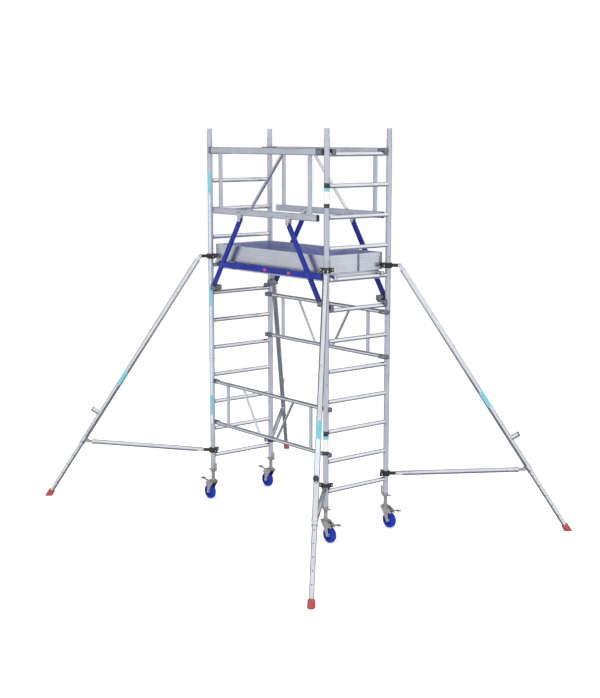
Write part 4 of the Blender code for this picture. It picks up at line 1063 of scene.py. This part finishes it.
def stabiliser(corner):
    frame_at = stabiliser_frame(corner)
    along = joint_axis(f"{corner}_stabiliser_leg_slide")
    level = frame_at.to_3x3() @ Vector((0, 1, 0))
    start = frame_at @ Vector((PIVOT_R, 0, TOP_PIVOT_Z))
    at, _ = line_frame(start, start + along, level)
    body = f"{corner}_stabiliser"
    piece = Piece(at)
    turned(piece, [(LEG_R - 0.001, 0.048), (LEG_R, 0.050), (LEG_R, LEG_END - 0.002),
                   (LEG_R - 0.0008, LEG_END), (LEG_BORE, LEG_END), (LEG_BORE, 0.048)], leg_metal, 56,
           wrap=True)
    fork_end(piece, LEG_R)
    turned(piece, [(LEG_BORE - 0.0002, LEG_END - 0.004), (LEG_R + 0.0010, LEG_END - 0.004),
                   (LEG_R + 0.0020, LEG_END - 0.001), (LEG_R + 0.0020, LEG_END + 0.008),
                   (LEG_BORE - 0.0002, LEG_END + 0.010)], bright_zinc, 48, wrap=True)
    peg = line_frame(at @ Vector((0, 0, PEG_AT)), at @ Vector((-1, 0, PEG_AT)), level)[0]
    turned(piece, [(0.0235, 0.018), (0.0240, 0.024), (0.0240, 0.094), (0.0215, 0.0945), (0.0215, 0.026)],
           leg_metal, 48, wrap=True, at=peg)
    turned(piece, [(0.0150, 0.086), (0.0214, 0.088), (0.0248, 0.093), (0.0248, 0.0975), (0.0225, 0.1000)],
           dark_plastic_and_hole_shade, 40, at=peg)
    hoop(piece, (-LEG_R + 0.001, 0, PEG_AT), (-1, 0, 0), 0.0240, 0.0028, leg_metal, 40, 0.12)
    for side in (-1, 1):
        y = sorted((side * 0.0057, side * 0.0105))
        ear = [(0.020, EAR_AT - 0.020), (0.050, EAR_AT - 0.017), (0.061, EAR_AT - 0.008),
               (0.061, EAR_AT + 0.008), (0.050, EAR_AT + 0.017), (0.020, EAR_AT + 0.020)]
        slab(piece, ear, y, zinc, 0.0010)
        bolt(piece, (EAR_OFFSET, side * 0.0104, EAR_AT), (0, side, 0), bright_zinc, 0.0070, 0.0055)
    turned(piece, [(LEG_R + 0.0004, EAR_AT - 0.024), (LEG_R + 0.0022, EAR_AT - 0.022),
                   (LEG_R + 0.0022, EAR_AT + 0.022), (LEG_R + 0.0004, EAR_AT + 0.024)], leg_metal, 48,
           wrap=True)
    button = line_frame(at @ Vector((0, 0, BUTTON_AT)), at @ Vector((-1, 0, BUTTON_AT)), level)[0]
    turned(piece, [(0.0110, 0.0245), (0.0110, 0.0262), (0.0060, 0.0270), (0.0060, 0.0300),
                   (0.0045, 0.0315)], bright_zinc, 24, at=button)
    piece.finish(f"{corner}_outer_tube", body, "rung_aluminium", f"{corner}_stabiliser_outer_leg")

    teal = (1.415, 1.580)
    label_band(f"{corner}_leg_band", 0, 0, teal, 180, teal_label, 125, body, LEG_R, "rung_aluminium", at)
    if corner == "front_right":
        label_band(f"{corner}_leg_strip", 0, 0, (teal[1] + 0.002, teal[1] + 0.330), 180, pale_label, 50,
                   body, LEG_R, "rung_aluminium", at)

    piece = Piece(at)
    turned(piece, [(INNER_R - 0.0018, 0.885), (INNER_R - 0.0004, 0.888), (INNER_R - 0.0004, TIP + 0.030),
                   (INNER_R - 0.0022, TIP + 0.030)], leg_metal, 48, wrap=True)
    # Flat dark discs stand where the pin holes are: painted shade in place of the open holes.
    s = LEG_END + 0.045
    while s < TIP - 0.02:
        for side in (-1, 1):
            dome(piece, (0, side * (INNER_R - 0.0006), s), (0, side, 0), 0.0058, 0.0005, dark_plastic_and_hole_shade)
        dome(piece, (-INNER_R + 0.0006, 0, s), (-1, 0, 0), 0.0058, 0.0005, dark_plastic_and_hole_shade)
        s += HOLE_PITCH
    piece.finish(f"{corner}_inner_tube", f"{corner}_foot_leg", "rung_aluminium",
                 f"{corner}_stabiliser_inner_leg")
    rubber_foot(corner, at)

    ear = at @ Vector((EAR_OFFSET, 0, EAR_AT))
    low_pivot = frame_at @ Vector((PIVOT_R, 0, LOW_PIVOT_Z))
    strut, length = line_frame(low_pivot, ear, level)
    piece = Piece(strut)
    end = length - 0.050
    turned(piece, [(SPREADER_R - 0.001, 0.048), (SPREADER_R, 0.050), (SPREADER_R, end - 0.002),
                   (SPREADER_R - 0.001, end)], leg_metal, 48)
    fork_end(piece, SPREADER_R)
    turned(piece, [(SPREADER_R + 0.0003, end - 0.028), (SPREADER_R + 0.0018, end - 0.026),
                   (SPREADER_R + 0.0018, end + 0.002), (SPREADER_R - 0.002, end + 0.004)], leg_metal, 40)
    tongue = [(-0.0125, end), (0.0125, end), (0.0125, length - 0.002), (0.0075, length + 0.0105),
              (-0.0075, length + 0.0105), (-0.0125, length - 0.002)]
    slab(piece, tongue, (-0.0050, 0.0050), zinc, 0.0010)
    piece.finish(f"{corner}_spreader_bar", body, "rung_aluminium", f"{corner}_stabiliser_spreader")


def rubber_foot(corner, at):
    """A ribbed rubber boot, cut off level at the floor."""
    piece = Piece()
    profile = [(INNER_R, TIP), (0.0290, TIP), (0.0310, TIP + 0.004)]
    for k in range(3):
        z = TIP + 0.008 + 0.012 * k
        profile += [(0.0322, z), (0.0322, z + 0.006), (0.0312, z + 0.008)]
    profile += [(0.0325, TIP + 0.046), (0.0325, TIP + 0.125)]
    along = at.to_3x3() @ Vector((0, 0, 1))
    rings = [circle(r, z, 48, at) for r, z in profile]
    for ring in rings:
        for point in ring:
            if point.z < 0:
                point -= along * (point.z / along.z)
    piece.loft(rings, red_rubber)
    bmesh.ops.remove_doubles(piece.shape, verts=piece.shape.verts, dist=1e-5)
    bmesh.ops.dissolve_degenerate(piece.shape, edges=piece.shape.edges, dist=1e-5)
    piece.finish(f"{corner}_rubber_foot", f"{corner}_foot_leg", "rung_aluminium")


# Floor, light and camera

CAMERA_PLACE = (9.7926, -7.8711, 3.7323)
CAMERA_YAW, CAMERA_PITCH = 0.89084, 0.16421
CAMERA_LENS = 67.10
LIGHTS_AIM = (0, 0, 1.8)
FLOOR_R = 90.0


def stage():
    floor_mesh = bpy.data.meshes.new("floor")
    shape = bmesh.new()
    bmesh.ops.create_circle(shape, cap_ends=True, radius=FLOOR_R, segments=96)
    shape.to_mesh(floor_mesh)
    shape.free()
    floor = bpy.data.objects.new("floor", floor_mesh)
    floor.location.z = -0.0004
    material, _, shader = shader_of("floor")
    shader.inputs["Base Color"].default_value = (0.93, 0.93, 0.93, 1.0)
    shader.inputs["Roughness"].default_value = 0.55
    shader.inputs["Emission Color"].default_value = (1.0, 1.0, 1.0, 1.0)
    shader.inputs["Emission Strength"].default_value = 0.32
    floor_mesh.materials.append(material)
    bpy.context.scene.collection.objects.link(floor)
    floor.visible_glossy = False


FLAGS = (  # direction, cosines where its shade starts and is full, how much light is left
    ((-0.76, 0.60, -0.25), 0.780, 0.920, (0.22, 0.24, 0.28)),
    ((-0.557, 0.435, 0.707), 0.850, 0.940, (0.26, 0.28, 0.32)),
    ((-0.99, -0.14, 0.00), 0.860, 0.950, (0.09, 0.10, 0.12)),
    ((0.00, 1.00, 0.00), 0.860, 0.950, (0.09, 0.10, 0.12)),
    ((-0.79, -0.25, 0.56), 0.900, 0.955, (0.16, 0.17, 0.20)),
    ((0.00, 0.00, -1.00), 0.300, 0.520, (0.20, 0.21, 0.24)),
)


def studio_world():
    """A white studio with dark flags behind, beside and below, so that metal has something to show."""
    world = bpy.data.worlds.new("studio")
    world.use_nodes = True
    tree = world.node_tree
    back = tree.nodes["Background"]
    sky = add_node(tree, "ShaderNodeTexCoord").outputs["Generated"]
    light = None
    for direction, start, full, left in FLAGS:
        facing = add_node(tree, "ShaderNodeVectorMath", operation="DOT_PRODUCT")
        facing.inputs[1].default_value = Vector(direction).normalized()
        tree.links.new(sky, facing.inputs[0])
        shade = ramp(tree, facing.outputs["Value"], [(start, (1.0, 1.0, 1.0)), (full, left)])
        if light:
            both = add_node(tree, "ShaderNodeMix", data_type="RGBA", blend_type="MULTIPLY")
            both.inputs["Factor"].default_value = 1.0
            tree.links.new(light, both.inputs["A"])
            tree.links.new(shade, both.inputs["B"])
            shade = both.outputs["Result"]
        light = shade
    seen = add_node(tree, "ShaderNodeMix", data_type="RGBA")
    seen.inputs["B"].default_value = (1.0, 1.0, 1.0, 1.0)
    tree.links.new(add_node(tree, "ShaderNodeLightPath").outputs["Is Camera Ray"], seen.inputs["Factor"])
    tree.links.new(light, seen.inputs["A"])
    tree.links.new(seen.outputs["Result"], back.inputs["Color"])
    back.inputs["Strength"].default_value = 1.0
    bpy.context.scene.world = world


def softbox(name, place, size, power):
    lamp = bpy.data.lights.new(name, "AREA")
    lamp.shape = "RECTANGLE"
    lamp.size, lamp.size_y = size
    lamp.energy = power
    obj = bpy.data.objects.new(name, lamp)
    obj.location = place
    aim = Vector(LIGHTS_AIM) - Vector(place)
    obj.rotation_euler = aim.to_track_quat("-Z", "Y").to_euler()
    obj.visible_glossy = False
    bpy.context.scene.collection.objects.link(obj)


def camera():
    data = bpy.data.cameras.new("camera")
    data.lens = CAMERA_LENS
    data.sensor_width = 36.0
    data.clip_end = 300.0
    obj = bpy.data.objects.new("camera", data)
    obj.location = CAMERA_PLACE
    obj.rotation_euler = (math.pi / 2 - CAMERA_PITCH, 0.0, CAMERA_YAW)
    bpy.context.scene.collection.objects.link(obj)
    bpy.context.scene.camera = obj


camera()
stage()
studio_world()
softbox("key", (3.0, -9.0, 8.0), (5.0, 5.0), 420.0)
softbox("fill", (10.0, 2.0, 6.0), (5.0, 4.0), 150.0)
softbox("top", (-1.0, 1.0, 9.0), (6.0, 6.0), 220.0)
bpy.context.scene.view_settings.view_transform = "Standard"

for side in ("left", "right"):
    for level in ("lower", "middle", "upper"):
        ladder(side, level)
post_labels()
for corner in CORNERS:
    caster(corner)
    stabiliser(corner)
    post_clamp(corner, "top")
    post_clamp(corner, "low")
deck()
for side in ("front", "back", "left", "right"):
    toe_board(side)
for side in ("front", "back"):
    guardrail(side)
    strut_set(side)
    brace(side)
